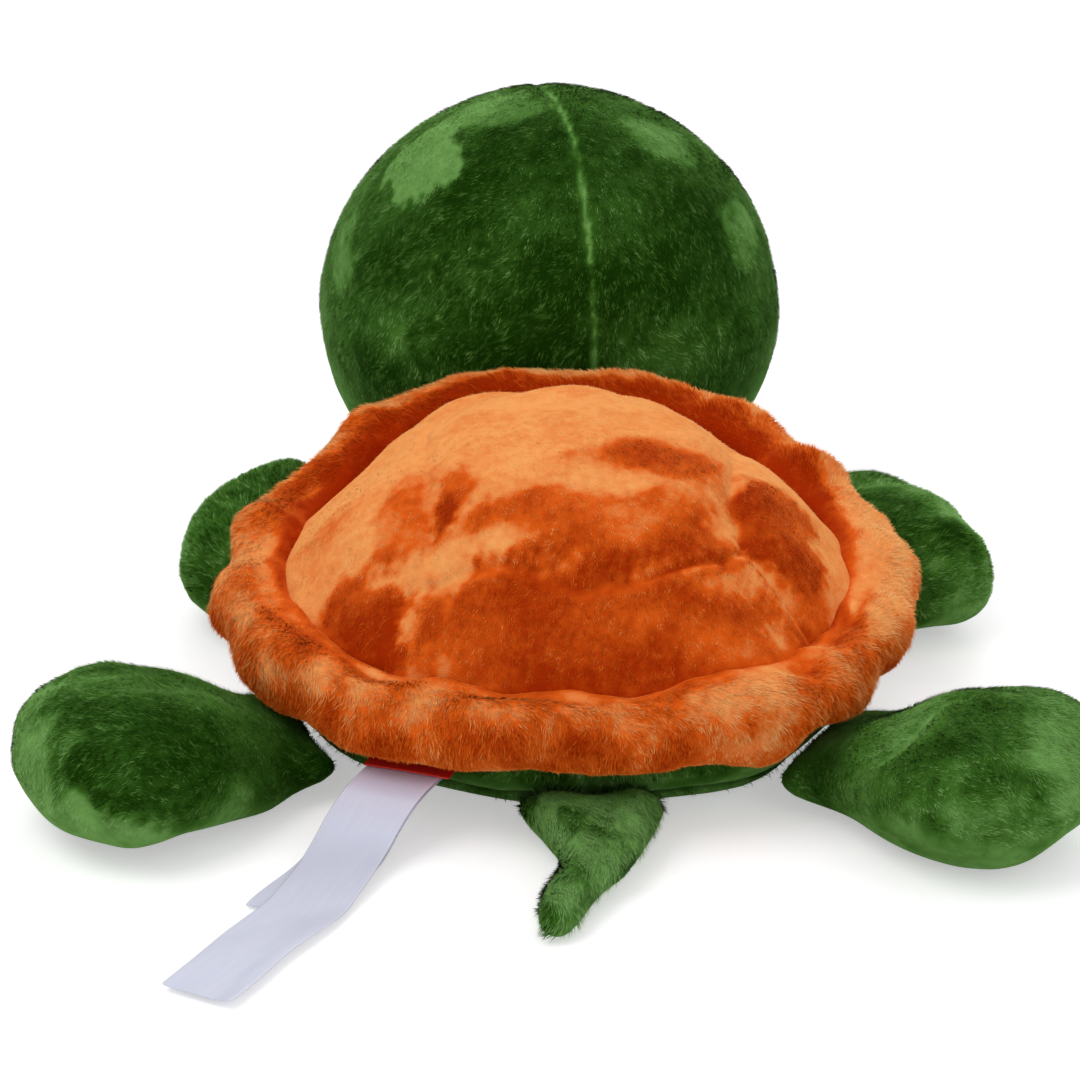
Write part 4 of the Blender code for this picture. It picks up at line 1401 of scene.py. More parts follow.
@dataclass
class Rim(PlushForm):
    """The stuffed roll round the shell, with its folds and puckers."""

    wave: float = 0.0011
    ripple: float = 0.0004
    slant_angle: float = 14.0
    hollow: float = 0.0034
    overhang: float = 0.0064
    sag: float = 0.0036
    sewn_fill: float = 0.0022
    label_room: float = 0.0032
    label_rise: float = 0.23
    label_half_width: float = 0.0140
    folds: tuple[tuple[float, float, float, float], ...] = (
        (301.0, 9.5, 0.0028, 0.2), (313.0, 3.2, -0.0040, 0.5), (338.0, 5.0, -0.0012, 0.0),
        (352.0, 9.0, 0.0016, 0.4), (22.0, 3.5, -0.0032, 0.3), (30.0, 5.0, 0.0012, 0.3),
        (158.0, 6.0, -0.0012, 0.5), (191.0, 4.0, -0.0026, 0.6), (203.0, 8.0, 0.0014, 0.0),
        (230.0, 5.0, -0.0008, 0.2), (262.0, 7.0, 0.0010, 0.4), (283.0, 5.0, -0.0016, 0.1),
        (296.0, 3.5, -0.0014, 0.5), (60.0, 7.0, -0.0010, 0.2),
    )

    def comb(self, points: np.ndarray, normals: np.ndarray) -> np.ndarray:
        """The pile lies over the roll from inside to outside, and a little round it."""
        out = level_out(points)
        along = np.stack([-out[:, 1], out[:, 0], np.zeros(len(out))], 1)
        over = np.cross(along, normals)
        over *= np.sign((over * out).sum(1) * np.sign(normals[:, 2]) + 1e-6)[:, None]
        inner = ramp(-(normals * out).sum(1), -0.35, 0.30)[:, None]
        return over * (1.0 - 0.85 * inner) + along * (0.35 + 0.65 * inner)

    def shape(self, points: np.ndarray, normals: np.ndarray) -> np.ndarray:
        """Folds across the roll, each slanted, and uneven stuffing. Angles are in degrees round it."""
        angle = np.degrees(np.arctan2(points[:, 1], points[:, 0])) % 360.0
        inward = np.clip(0.5 - 0.5 * (normals * level_out(points)).sum(1), 0.0, 1.0)
        move = self.wave * Waves(0.026, 8).at(points) + self.ripple * Waves(0.009, 9).at(points)
        sewn = ramp(inward, 0.55, 0.9) * (1.0 - ramp(points[:, 2], 0.040, 0.055))
        drawn = (0.15 + 0.85 * inward) * (1.0 - sewn)
        for middle, spread, depth, slant in self.folds:
            off = (angle - middle - slant * self.slant_angle * inward + 180.0) % 360.0 - 180.0
            move += depth * bell(off, 0.0, spread) * (drawn if depth < 0 else 1.0)
        move -= self.hollow * bell(angle, 148.0, 9.0) * (1.0 - inward)
        low = 1.0 - ramp(points[:, 2], 0.024, 0.042)
        out = level_out(points) * (self.overhang * bell(angle, 238.0, 15.0) * low)[:, None]
        down = self.sag * bell(angle, 230.0, 7.5) * low
        hang = np.stack([out[:, 0], out[:, 1], -down], 1)
        return self.held_off(points + normals * (move + self.sewn_fill * sewn)[:, None] + hang)

    def held_off(self, points: np.ndarray) -> np.ndarray:
        """The points with those over the care label raised to where it can lift."""
        axis, root = (np.array(joint_value("label_lift", field)) for field in ("axis", "pos_m"))
        across = (points - root) @ axis
        out = (points - root) @ np.cross(axis, (0.0, 0.0, -1.0))
        least = root[2] + self.label_room + self.label_rise * np.clip(out, 0.0, 0.03)
        under = (np.abs(across) < self.label_half_width) & (out > -0.003) & (points[:, 2] < least)
        points[:, 2] = np.where(under, least, points[:, 2])
        return points

    def lay(self, points: np.ndarray, normals: np.ndarray) -> np.ndarray:
        """Painted shade on the inner wall and underneath, painted light over the top."""
        facing = (normals * level_out(points)).sum(1)
        # Painted shade where the roll faces inwards, painted light where it faces up and out.
        lift = -1.3 * ramp(-facing, 0.0, 0.6) + 0.45 * ramp(normals[:, 2], 0.3, 0.9) * ramp(facing, -0.3, 0.3)
        return self.nap.share(points, lift)


@dataclass
class Core(PlushForm):
    """The green body under the shell."""

    def trimmed(self, points: np.ndarray) -> np.ndarray:
        """Longer pile low down, over the seam of the belly's panel."""
        return 1.0 + 0.25 * ramp(-points[:, 2], -0.014, -0.006)

    def comb(self, points: np.ndarray, normals: np.ndarray) -> np.ndarray:
        """The pile lies outwards and down."""
        return level_out(points) + np.array((0.0, 0.0, -0.6))


@dataclass
class Neck(PlushForm):
    """The short neck, gathered between body and head."""

    def attach(self, piece: bpy.types.Object) -> None:
        """Keeps the piece where it stands, in world space; it rides on no body."""
        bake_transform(piece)

    def comb(self, points: np.ndarray, normals: np.ndarray) -> np.ndarray:
        """The pile lies to the rear and down."""
        return np.tile((0.0, -1.0, -0.4), (len(points), 1))


@dataclass
class Head(PlushForm):
    """The head, sewn of two halves, with trimmed pile round its eyes and mouth."""

    yaw: float = 9.0
    seam_shift: float = 0.0036
    seam_width: float = 0.0018
    well_start: float = 0.02
    well_radius: float = 0.0082
    parting: float = 0.55
    trims: tuple[tuple[float, float, float, float], ...] = (
        (EYE_AZIMUTH, EYE_ELEVATION, 12.0, 0.65), (-EYE_AZIMUTH, EYE_ELEVATION, 12.0, 0.65),
        (0.0, -22.0, 30.0, 0.5),
    )

    def middle(self) -> Vector:
        """The middle of the head's ball."""
        return Vector(joint_value("head_nod", "pos_m"))

    def turned(self, azimuth: float, elevation: float) -> Vector:
        """A unit vector from the head's middle.

        Args:
            azimuth: Degrees from the snout towards the turtle's right.
            elevation: Degrees up.

        Returns:
            The vector in the row frame.
        """
        turn, lift = math.radians(90.0 + self.yaw - azimuth), math.radians(elevation)
        return Vector((math.cos(turn) * math.cos(lift), math.sin(turn) * math.cos(lift), math.sin(lift)))

    def start_mesh(self) -> bpy.types.Object:
        """The head's ball with the wells of the eyes closed."""
        skin = node_copy(self.node, self.name + "_skin")
        middle, mesh = self.middle(), skin.data
        points = points_of(mesh) - np.array(middle)
        drop = np.zeros(len(points), bool)
        for side in Side:
            way = np.array(self.turned(side.value * EYE_AZIMUTH, EYE_ELEVATION))
            along = points @ way
            off = np.linalg.norm(points - along[:, None] * way, axis=1)
            drop |= (along > self.well_start) & (off < self.well_radius)
        form = bmesh.new()
        form.from_mesh(mesh)
        form.verts.ensure_lookup_table()
        bmesh.ops.delete(form, geom=[form.verts[i] for i in np.flatnonzero(drop)], context="VERTS")
        edges = [e for e in form.edges if e.is_boundary]
        bmesh.ops.holes_fill(form, edges=edges, sides=0)
        form.to_mesh(mesh)
        form.free()
        return skin

    def side_of(self, points: np.ndarray) -> np.ndarray:
        """How far each point is to the turtle's right of the seam between the head's halves."""
        away = points - np.array(self.middle())
        behind = ramp(unit(away) @ np.array(self.turned(180.0, 0.0)), -0.3, 0.5)
        return away @ np.array(self.turned(90.0, 0.0)) - self.seam_shift * behind

    def seam_closeness(self, points: np.ndarray) -> np.ndarray:
        """How close each point is to the seam over the crown, fainter on the face."""
        ahead = unit(points - np.array(self.middle())) @ np.array(self.turned(0.0, 0.0))
        uneven = 0.88 + 0.12 * np.clip(Waves(0.007, 14).at(points), -1.0, 1.0)
        fainter = 1.0 - 0.55 * ramp(ahead, 0.0, 0.6)
        return bell(self.side_of(points), 0.0, self.seam_width) * fainter * uneven

    def comb(self, points: np.ndarray, normals: np.ndarray) -> np.ndarray:
        """The pile lies from the snout over the crown to the back, and down."""
        back = np.array(self.turned(180.0, 0.0))
        right = np.array(self.turned(90.0, 0.0))
        apart = np.tanh(self.side_of(points) / 0.008)[:, None] * right
        return np.tile(back, (len(points), 1)) * 0.6 + np.array((0.0, 0.0, -0.9)) + apart * self.parting

    def trimmed(self, points: np.ndarray) -> np.ndarray:
        """Shorter pile round the eyes and on the snout."""
        away = unit(points - np.array(self.middle()))
        share = np.ones(len(points))
        for azimuth, elevation, spread, cut in self.trims:
            near = away @ np.array(self.turned(azimuth, elevation))
            outer, inner = (math.cos(math.radians(spread * times)) for times in (1.5, 0.8))
            share -= cut * ramp(near, outer, inner)
        return np.clip(share, 0.3, 1.0)

    def across(self, points: np.ndarray) -> np.ndarray:
        """How far each point is to the right of the middle seam."""
        return self.side_of(points)


@dataclass
class Limb(PlushForm):
    """A flipper or the tail, sewn on at its root."""

    heading: float = 0.0
    curl: float = 0.0
    reach: float = 0.08
    joint: str = ""
    sewn: tuple[tuple[float, float, float], ...] = ()
    bend_from: float = -0.004
    bend_to: float = 0.012
    seam_width: float = 0.0021
    parting: float = 2.6
    unevenness: float = 0.0008

    def root(self) -> Vector:
        """The middle of the limb's hinge line."""
        return Vector(joint_value(self.joint, "pos_m"))

    def ahead(self) -> Vector:
        """The way that the limb points, level."""
        turn = math.radians(self.heading)
        return Vector((math.cos(turn), math.sin(turn), 0.0))

    def attach(self, piece: bpy.types.Object) -> None:
        """Keeps the piece where it stands, in world space; it rides on no body."""
        root = self.root()
        axis = Vector(joint_value(self.joint, "axis"))
        out = axis.cross(Vector((0.0, 0.0, 1.0))).normalized()
        out *= 1.0 if out.dot(self.ahead()) > 0 else -1.0
        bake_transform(piece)

    def comb(self, points: np.ndarray, normals: np.ndarray) -> np.ndarray:
        """The pile lies out towards the tip, and a little down, and parts along a seam."""
        turn = np.radians(self.curl) * np.linalg.norm(points - np.array(self.root()), axis=1) / self.reach
        turn = turn + math.radians(self.heading)
        way = np.stack([np.cos(turn), np.sin(turn), np.full(len(turn), -0.2)], 1)
        for seam in self.seams():
            way += unit(seam.offset(points)) * (self.parting * seam.closeness(points))[:, None]
        return way

    def seams(self) -> list[Seam]:
        """The closing seam of the limb, where it has one in sight."""
        return [Seam(self.sewn, self.seam_width)] if self.sewn else []

    def shape(self, points: np.ndarray, normals: np.ndarray) -> np.ndarray:
        """Slightly uneven stuffing. The seam's line is moved onto the skin."""
        points = points + normals * (self.unevenness * Waves(0.024, self.seed + 60).at(points))[:, None]
        near = (points[np.argmin(((points - np.array(spot)) ** 2).sum(1))] for spot in self.sewn)
        self.sewn = tuple(tuple(float(v) for v in spot) for spot in near)
        return points


# ---------------- eyes and face


@dataclass
class ButtonEye:
    """A domed plastic eye on the head."""

    node: str
    head: Head
    azimuth: float
    radius: float = 0.007
    rise: float = 0.0043
    skirt: float = 0.0014
    sunk: float = 0.0036
    stem_radius: float = 0.0022
    stem_length: float = 0.010
    edge: float = 0.0004

    def build(self, material: bpy.types.Material) -> None:
        """Makes the eye where its node is.

        Args:
            material: The plastic's material.
        """
        way = self.head.turned(self.azimuth, EYE_ELEVATION)
        middle = self.head.middle()
        top = max((v.co - middle).dot(way) for v in frame["nodes"][self.node].data.vertices)
        seat = middle + way * (top - self.sunk)
        bpy.ops.object.select_all(action="DESELECT")
        bpy.ops.mesh.primitive_uv_sphere_add(segments=48, ring_count=24, radius=self.radius)
        eye = bpy.context.active_object
        eye.name = self.node + "_button"
        bpy.ops.object.mode_set(mode="EDIT")
        bpy.ops.mesh.bisect(plane_co=(0, 0, 0), plane_no=(0, 0, 1), clear_inner=True)
        bpy.ops.mesh.select_all(action="SELECT")
        bpy.ops.transform.resize(value=(1.0, 1.0, self.rise / self.radius), center_override=(0, 0, 0))
        bpy.ops.mesh.select_all(action="DESELECT")
        bpy.ops.object.mode_set(mode="OBJECT")
        form = bmesh.new()
        form.from_mesh(eye.data)
        for edge in form.edges:
            edge.select = edge.is_boundary
        form.to_mesh(eye.data)
        form.free()
        bpy.ops.object.mode_set(mode="EDIT")
        bpy.ops.mesh.extrude_region_move(TRANSFORM_OT_translate={"value": (0, 0, -self.skirt)})
        bpy.ops.mesh.edge_face_add()
        bpy.ops.mesh.inset(thickness=self.radius - self.stem_radius)
        bpy.ops.mesh.extrude_region_move(TRANSFORM_OT_translate={"value": (0, 0, -self.stem_length)})
        bpy.ops.mesh.select_all(action="SELECT")
        bpy.ops.mesh.normals_make_consistent(inside=False)
        bpy.ops.object.mode_set(mode="OBJECT")
        apply_modifier(eye, "BEVEL", width=self.edge, segments=3, limit_method="ANGLE")
        spin = way.to_track_quat("Z", "Y").to_matrix().to_4x4()
        eye.data.transform(Matrix.Translation(seat) @ spin)
        eye.data.shade_smooth()
        eye.data.materials.append(material)
        hand_over(eye, Body.HEAD, self.node)


@dataclass
class FaceStitching:
    """The stitched mouth and nostrils on the snout."""

    head: Head
    stitches: int = 92
    stitch_length: float = 0.0022
    thread: float = 0.00042
    lift: float = 0.0007
    mouth_half: float = 29.0
    mouth_low: float = -33.0
    mouth_rise: float = 9.0
    nostril_azimuth: float = 6.5
    nostril_elevation: float = -9.0
    nostril_pitch: float = 0.42
    nostril_length: float = 0.0030

    def spots(self) -> list[tuple[Vector, Vector, float]]:
        """Each stitch's way from the head's middle, its own direction along the face and its length."""
        found = []
        for i in range(self.stitches):
            share = 2.0 * i / (self.stitches - 1) - 1.0
            azimuth, height = self.mouth_half * share, self.mouth_low + self.mouth_rise * share * share
            here = self.head.turned(azimuth, height)
            ahead = self.head.turned(azimuth + 1.0, height + 2.0 * self.mouth_rise * share / self.mouth_half)
            found.append((here, (ahead - here).normalized(), self.stitch_length * (1.0 - 0.55 * share**6)))
        for side in Side:
            middle, height = side.value * self.nostril_azimuth, self.nostril_elevation
            near, far = (self.head.turned(middle + off, height) for off in (-3.0, 3.0))
            along = (far - near).normalized()
            for i in range(-3, 4):
                here = self.head.turned(middle + i * self.nostril_pitch, height)
                found.append((here, along, self.nostril_length * math.sqrt(1.0 - (i / 4.2) ** 2)))
        return found

    def build(self, skin: bpy.types.Object, material: bpy.types.Material) -> None:
        """Lays the stitches on the head's skin.

        Args:
            skin: The head's skin.
            material: The thread's material.
        """
        bpy.ops.object.select_all(action="DESELECT")
        bpy.ops.mesh.primitive_uv_sphere_add(segments=8, ring_count=6, radius=1.0)
        model = bpy.context.active_object
        shape = points_of(model.data)
        faces = [tuple(p.vertices) for p in model.data.polygons]
        bpy.data.objects.remove(model)
        graph = bpy.context.evaluated_depsgraph_get()
        tree = BVHTree.FromObject(skin, graph)
        middle = self.head.middle()
        points, polygons = [], []
        for way, along, length in self.spots():
            spot, normal, _, _ = tree.ray_cast(middle + way * 0.2, -way)
            if spot is None:
                continue
            up = normal.cross(along).normalized()
            rows = np.array((up * length / 2, along * self.thread * 0.75, normal * self.thread))
            start = len(points) * len(shape)
            points.append(shape @ rows + np.array(spot + normal * self.lift))
            polygons += [tuple(start + i for i in face) for face in faces]
        mesh = bpy.data.meshes.new("face_stitching")
        mesh.from_pydata(np.concatenate(points).tolist(), [], polygons)
        mesh.shade_smooth()
        mesh.materials.append(material)
        stitches = link_mesh("face_stitching", mesh)
        hand_over(stitches, Body.HEAD)


# ---------------- care label


def gone_along(line: np.ndarray) -> np.ndarray:
    """How far along the line each of its points is."""
    return np.concatenate([[0.0], np.cumsum(np.linalg.norm(np.diff(line, axis=0), axis=1))])


def ribbon_grid(name: str, across: int, along: int) -> tuple[bpy.types.Object, np.ndarray, np.ndarray]:
    """A flat grid to be shaped into ribbon.

    Args:
        name: The object's name.
        across: The steps across it.
        along: The steps along it.

    Returns:
        The object, and for each of its points the place across it, from -1 to 1, and the row along it.
    """
    bpy.ops.object.select_all(action="DESELECT")
    bpy.ops.mesh.primitive_grid_add(x_subdivisions=across, y_subdivisions=along, size=2.0)
    piece = bpy.context.active_object
    piece.name = name
    flat = points_of(piece.data)
    return piece, flat[:, 0], np.rint((flat[:, 1] + 1) / 2 * along).astype(int)


def dress_ribbon(
    piece: bpy.types.Object, places: np.ndarray, thickness: float, material: bpy.types.Material,
) -> None:
    """Gives a shaped ribbon its own map, its thickness and its material.

    Args:
        piece: The ribbon, still without thickness.
        places: Each point's place on the flat ribbon, in metres across and along.
        thickness: The ribbon's thickness.
        material: The ribbon's material.
    """
    mesh = piece.data
    uv = mesh.uv_layers.new(name=RIBBON_MAP)
    corners = np.empty(len(mesh.loops), np.int32)
    mesh.loops.foreach_get("vertex_index", corners)
    uv.data.foreach_set("uv", places[corners].astype(np.float32).ravel())
    apply_modifier(piece, "SOLIDIFY", thickness=thickness, offset=0.0)
    apply_modifier(piece, "SUBSURF", levels=1, render_levels=1)
    mesh.shade_smooth()
    mesh.materials.append(material)


@dataclass
class Ribbon:
    """One leaf of the care label: satin ribbon that falls from the seam and lies on the surface."""

    name: str
    node: str
    layer: int
    stations: int
    half_width: float = 0.0100
    thickness: float = 0.00028
    run: float = 0.100
    headings: tuple[float, float] = (LABEL_HEADING, LABEL_HEADING - 10.0)
    side_shares: tuple[float, ...] = (0.0, 0.045, 0.09, 0.135, 0.175, 0.22, 0.27, 0.325, 0.385, 0.445, 0.51)
    out_shares: tuple[float, ...] = (0.0, 0.09, 0.16, 0.21, 0.28, 0.39, 0.51, 0.60, 0.69, 0.805, 0.92)
    fall_shares: tuple[float, ...] = (0.0, 0.0, 0.13, 0.47, 0.77, 0.93, 1.0, 1.0, 1.0, 1.0, 1.0)
    end_slant: float = 0.0
    end_drift: float = 0.0
    steps_across: int = 12
    steps_between: int = 9
    rest_height: float = 0.0008
    layer_height: float = 0.0009
    cup: float = 0.0004
    wave: float = 0.0003
    edge_lift: float = 0.0011
    end_length: float = 0.026

    def line(self) -> tuple[np.ndarray, np.ndarray]:
        """The ribbon's middle line and the heading at each of its points."""
        floor = self.rest_height - LABEL_ROOT[2]
        stations = list(zip(self.side_shares, self.out_shares, self.fall_shares))[: self.stations]
        rows = np.array([
            (
                -self.run * side, -self.run * out, floor * fall + self.layer_height * self.layer,
                self.headings[0] + (self.headings[1] - self.headings[0]) * out,
            )
            for side, out, fall in stations
        ])
        knots = np.arange(len(rows))
        fine = np.linspace(0, len(rows) - 1, (len(rows) - 1) * self.steps_between + 1)
        smooth = np.stack([catmull(knots, rows[:, k], fine) for k in range(4)], 1)
        return smooth[:, :3] + np.array(LABEL_ROOT), smooth[:, 3]

    def build(self, material: bpy.types.Material) -> None:
        """Makes the leaf, a little cupped and waved, with one edge lifted towards its end.

        Args:
            material: The satin's material.
        """
        line, heading = self.line()
        gone = gone_along(line)
        leaf, across, row = ribbon_grid(self.name, self.steps_across, len(line) - 1)
        along, end = gone[row], gone[-1]
        turn = np.radians(heading + 90.0)[row]
        aside = np.stack([np.cos(turn), np.sin(turn), np.zeros(len(turn))], 1)
        lift = self.cup * across**2 * np.sin(along * 60.0 + 0.6) + self.wave * np.sin(along * 95.0 + across)
        lift *= ramp(along, 0.012, 0.03)
        edge = ramp(across * (1 if self.layer else -1), 0.2, 1.0)
        lift += self.edge_lift * edge * ramp(along, 0.05, 0.075)
        points = line[row] + aside * (across * self.half_width)[:, None]
        ending = ramp(along, end - self.end_length, end)[:, None]
        ahead = np.stack([aside[:, 1], -aside[:, 0], np.zeros(len(turn))], 1)
        points += ending * (ahead * (self.end_slant * -across)[:, None] - aside * self.end_drift)
        points[:, 2] = np.maximum(points[:, 2] + np.abs(lift), RIBBON_CLEARANCE)
        move_points(leaf.data, points)
        dress_ribbon(leaf, np.stack([across * self.half_width, along], 1), self.thickness, material)
        hand_over(leaf, Body.LABEL, self.node)
        LOG.info("%s: %.1f mm long", self.name, end * 1000)


def catmull(knots: np.ndarray, values: np.ndarray, fine: np.ndarray) -> np.ndarray:
    """A smooth curve through values at whole knots.

    Args:
        knots: The knots, counted from 0.
        values: The value at each.
        fine: Where the curve is wanted.

    Returns:
        The curve's values.
    """
    padded = np.concatenate([[2 * values[0] - values[1]], values, [2 * values[-1] - values[-2]]])
    at = np.clip(fine.astype(int), 0, len(knots) - 2)
    f = fine - at
    a, b, c, d = (padded[at + k] for k in range(4))
    return b + 0.5 * f * (c - a + f * (2 * a - 5 * b + 4 * c - d + f * (3 * (b - c) + d - a)))


@dataclass
class SeamTab:
    """The short folded tab on top of the ribbon, at its seam."""

    half_width: float = 0.0117
    length: float = 0.0100
    thickness: float = 0.00022
    gap: float = 0.00042
    low: float = 0.0015
    bow: float = 0.0001

    def build(self, material: bpy.types.Material) -> None:
        """Makes the tab: ribbon folded over, its fold outwards.

        Args:
            material: The ribbon's material.
        """
        profile = [(self.length * share, self.low) for share in (0.0, 0.35, 0.7, 0.95)]
        for k in range(1, 6):
            turn = math.pi * k / 6
            height = self.gap / 2 * (1 - math.cos(turn))
            profile.append((self.length * 0.95 + self.gap * math.sin(turn), self.low + height))
        profile += [(self.length * share, self.low + self.gap) for share in (0.95, 0.7, 0.35, 0.0)]
        tab, across, row = ribbon_grid("seam_tab_ribbon", 10, len(profile) - 1)
        steps = np.array(profile)
        gone = gone_along(steps)
        turn = math.radians(LABEL_HEADING)
        out = np.array((math.cos(turn), math.sin(turn), 0.0))
        side = np.array((-out[1], out[0], 0.0))
        points = np.array(LABEL_ROOT) + steps[row, :1] * out + across[:, None] * self.half_width * side
        points[:, 2] += steps[row, 1] + self.bow * np.cos(across * 2.5)
        move_points(tab.data, points)
        dress_ribbon(tab, np.stack([across * self.half_width, gone[row]], 1), self.thickness, material)
        hand_over(tab, Body.LABEL, "seam_tab")


@dataclass
class PelletBag:
    """The cloth bag of pellets inside the belly."""

    node: str = "pellet_bag"
    pellet: float = 0.0032
    voxel: float = 0.0016
    bump: float = 0.0004
    inset: float = 0.0006

    def build(self, material: bpy.types.Material) -> None:
        """Makes the bag, bumpy with the pellets in it.

        Args:
            material: The cloth's material.
        """
        bag = node_copy(self.node, "pellet_bag_cloth")
        apply_modifier(bag, "REMESH", mode="VOXEL", voxel_size=self.voxel)
        apply_modifier(bag, "SMOOTH", factor=0.5, iterations=4)
        mesh = bag.data
        points, normals = points_of(mesh), normals_of(mesh)
        bumps = np.abs(Waves(self.pellet, 3).at(points)) * self.bump - self.inset
        move_points(mesh, points + normals * bumps[:, None])
        mesh.shade_smooth()
        mesh.materials.append(material)
        hand_over(bag, Body.TORSO, self.node)


# ---------------- stage


@dataclass(frozen=True)
class Studio:
    """The floor, the lights and the camera."""

    elevation: float = 25.0
    distance: float = 1.15
    focal_length: float = 141.83
    sensor: float = 36.0
    target: Place = (-0.006, 0.018, 0.040)
    key: float = 6.5
    fill: float = 2.6
    back: float = 6.0
    sky: float = 0.72
    floor_grey: float = 0.82
    floor_glow: float = 0.42

    def lamp(self, name: str, place: Place, size: float, energy: float) -> None:
        """Adds a square lamp that points at the turtle.

        Args:
            name: Its name.
            place: Where it stands.
            size: Its side.
            energy: Its power in watts.
        """
        light = bpy.data.lights.new(name, "AREA")
        light.size = size
        light.energy = energy
        lamp = bpy.data.objects.new(name, light)
        bpy.context.scene.collection.objects.link(lamp)
        lamp.location = place
        lamp.rotation_mode = "QUATERNION"
        lamp.rotation_quaternion = (Vector(self.target) - Vector(place)).to_track_quat("-Z", "Y")

    def floor(self) -> None:
        """Lays a pale floor that the camera sees as white, with the turtle's soft shadow on it."""
        bpy.ops.object.select_all(action="DESELECT")
        bpy.ops.mesh.primitive_plane_add(size=14.0)
        floor = bpy.context.active_object
        floor.name = "floor"
        material = bpy.data.materials.new("pale_floor")
        material.use_nodes = True
        tree = Tree(material.node_tree)
        shader = material.node_tree.nodes["Principled BSDF"]
        shader.inputs["Base Color"].default_value = (*(self.floor_grey,) * 3, 1.0)
        shader.inputs["Roughness"].default_value = 0.9
        shader.inputs["Specular IOR Level"].default_value = 0.0
        shader.inputs["Emission Color"].default_value = (1.0, 1.0, 1.0, 1.0)
        rays = tree.add("ShaderNodeLightPath").outputs
        seen = tree.math("ADD", rays["Is Camera Ray"], rays["Is Glossy Ray"], clamp=True)
        tree.feed(shader.inputs["Emission Strength"], tree.math("MULTIPLY", seen, self.floor_glow))
        floor.data.materials.append(material)

    def world(self) -> None:
        """Soft even light from all round, seen as white."""
        world = bpy.data.worlds.new("soft_white")
        bpy.context.scene.world = world
        world.use_nodes = True
        tree = Tree(world.node_tree)
        background = world.node_tree.nodes["Background"]
        background.inputs["Color"].default_value = (1.0, 1.0, 1.0, 1.0)
        rays = tree.add("ShaderNodeLightPath").outputs
        seen = tree.math("ADD", rays["Is Camera Ray"], rays["Is Transmission Ray"], clamp=True)
        tree.feed(background.inputs["Strength"], tree.span(seen, 0.0, 1.0, self.sky, 1.0))

    def camera(self) -> None:
        """Puts the camera at the photograph's angle."""
        lift = math.radians(self.elevation)
        back = Vector((0.0, -math.cos(lift), math.sin(lift)))
        view = bpy.data.cameras.new("camera")
        view.lens = self.focal_length
        view.sensor_width = self.sensor
        view.clip_start, view.clip_end = 0.05, 30.0
        camera = bpy.data.objects.new("camera", view)
        bpy.context.scene.collection.objects.link(camera)
        camera.location = Vector(self.target) + back * self.distance
        camera.rotation_mode = "QUATERNION"
        camera.rotation_quaternion = (-back).to_track_quat("-Z", "Y")
        bpy.context.scene.camera = camera

    def build(self) -> None:
        """Sets the whole stage."""
        self.world()
        self.floor()
        self.lamp("key_light", (-0.75, -0.35, 1.35), 0.9, self.key)
        self.lamp("fill_light", (1.1, -0.9, 0.8), 1.2, self.fill)
        self.lamp("back_light", (0.2, 1.3, 1.0), 1.0, self.back)
        self.camera()
        bpy.context.scene.view_settings.view_transform = "Standard"


# ---------------- the turtle

# Plush colours: dark and light span the nap from painted shade to painted sheen, and root is the painted
# shade deep in the pile.
GREEN = PlushFinish(
    "green_plush_cloth", Slot.GREEN, dark=(0.013, 0.052, 0.001), middle=(0.082, 0.205, 0.032),
    light=(0.28, 0.50, 0.17), root=(0.30, 0.48, 0.20), sheen=(0.45, 0.90, 0.16), contrast=1.05,
)
ORANGE = PlushFinish(
    "orange_plush_cloth", Slot.ORANGE, dark=(0.41, 0.040, 0.0010), middle=(0.81, 0.162, 0.014),
    light=(1.0, 0.54, 0.21), root=(0.84, 0.46, 0.20), sheen=(1.0, 0.52, 0.10), contrast=0.75,
)
SATIN = RibbonFinish(
    "white_satin_ribbon", Slot.SATIN, (0.62, 0.64, 0.77), (0.54, 0.56, 0.70), 0.34, 0.12, 26000.0,
    selvedge=(0.74, 0.75, 0.84), seam_end_tint=(0.62, 0.36, 0.46), seam_end_tint_share=0.55,
)
TAB_RIBBON = RibbonFinish(
    "red_tab_ribbon", Slot.RED, (0.62, 0.012, 0.006), (0.42, 0.008, 0.005), 0.6, 0.0, 12000.0,
    selvedge=(0.50, 0.010, 0.005), seam_end_tint=(0.62, 0.012, 0.006),
)
EYE_PLASTIC = PlasticFinish("eye_plastic", Slot.EYE, (0.003, 0.003, 0.004), 0.05, 0.12, coat=0.25)
WASHER_PLASTIC = PlasticFinish("washer_plastic", Slot.WASHER, (0.70, 0.70, 0.67), 0.35, 0.5)
BAG_COTTON = ClothFinish("bag_cotton", Slot.BAG, (0.60, 0.57, 0.50))
FACE_THREAD = ClothFinish("face_thread", Slot.GREEN, (0.010, 0.016, 0.008), 22000.0)


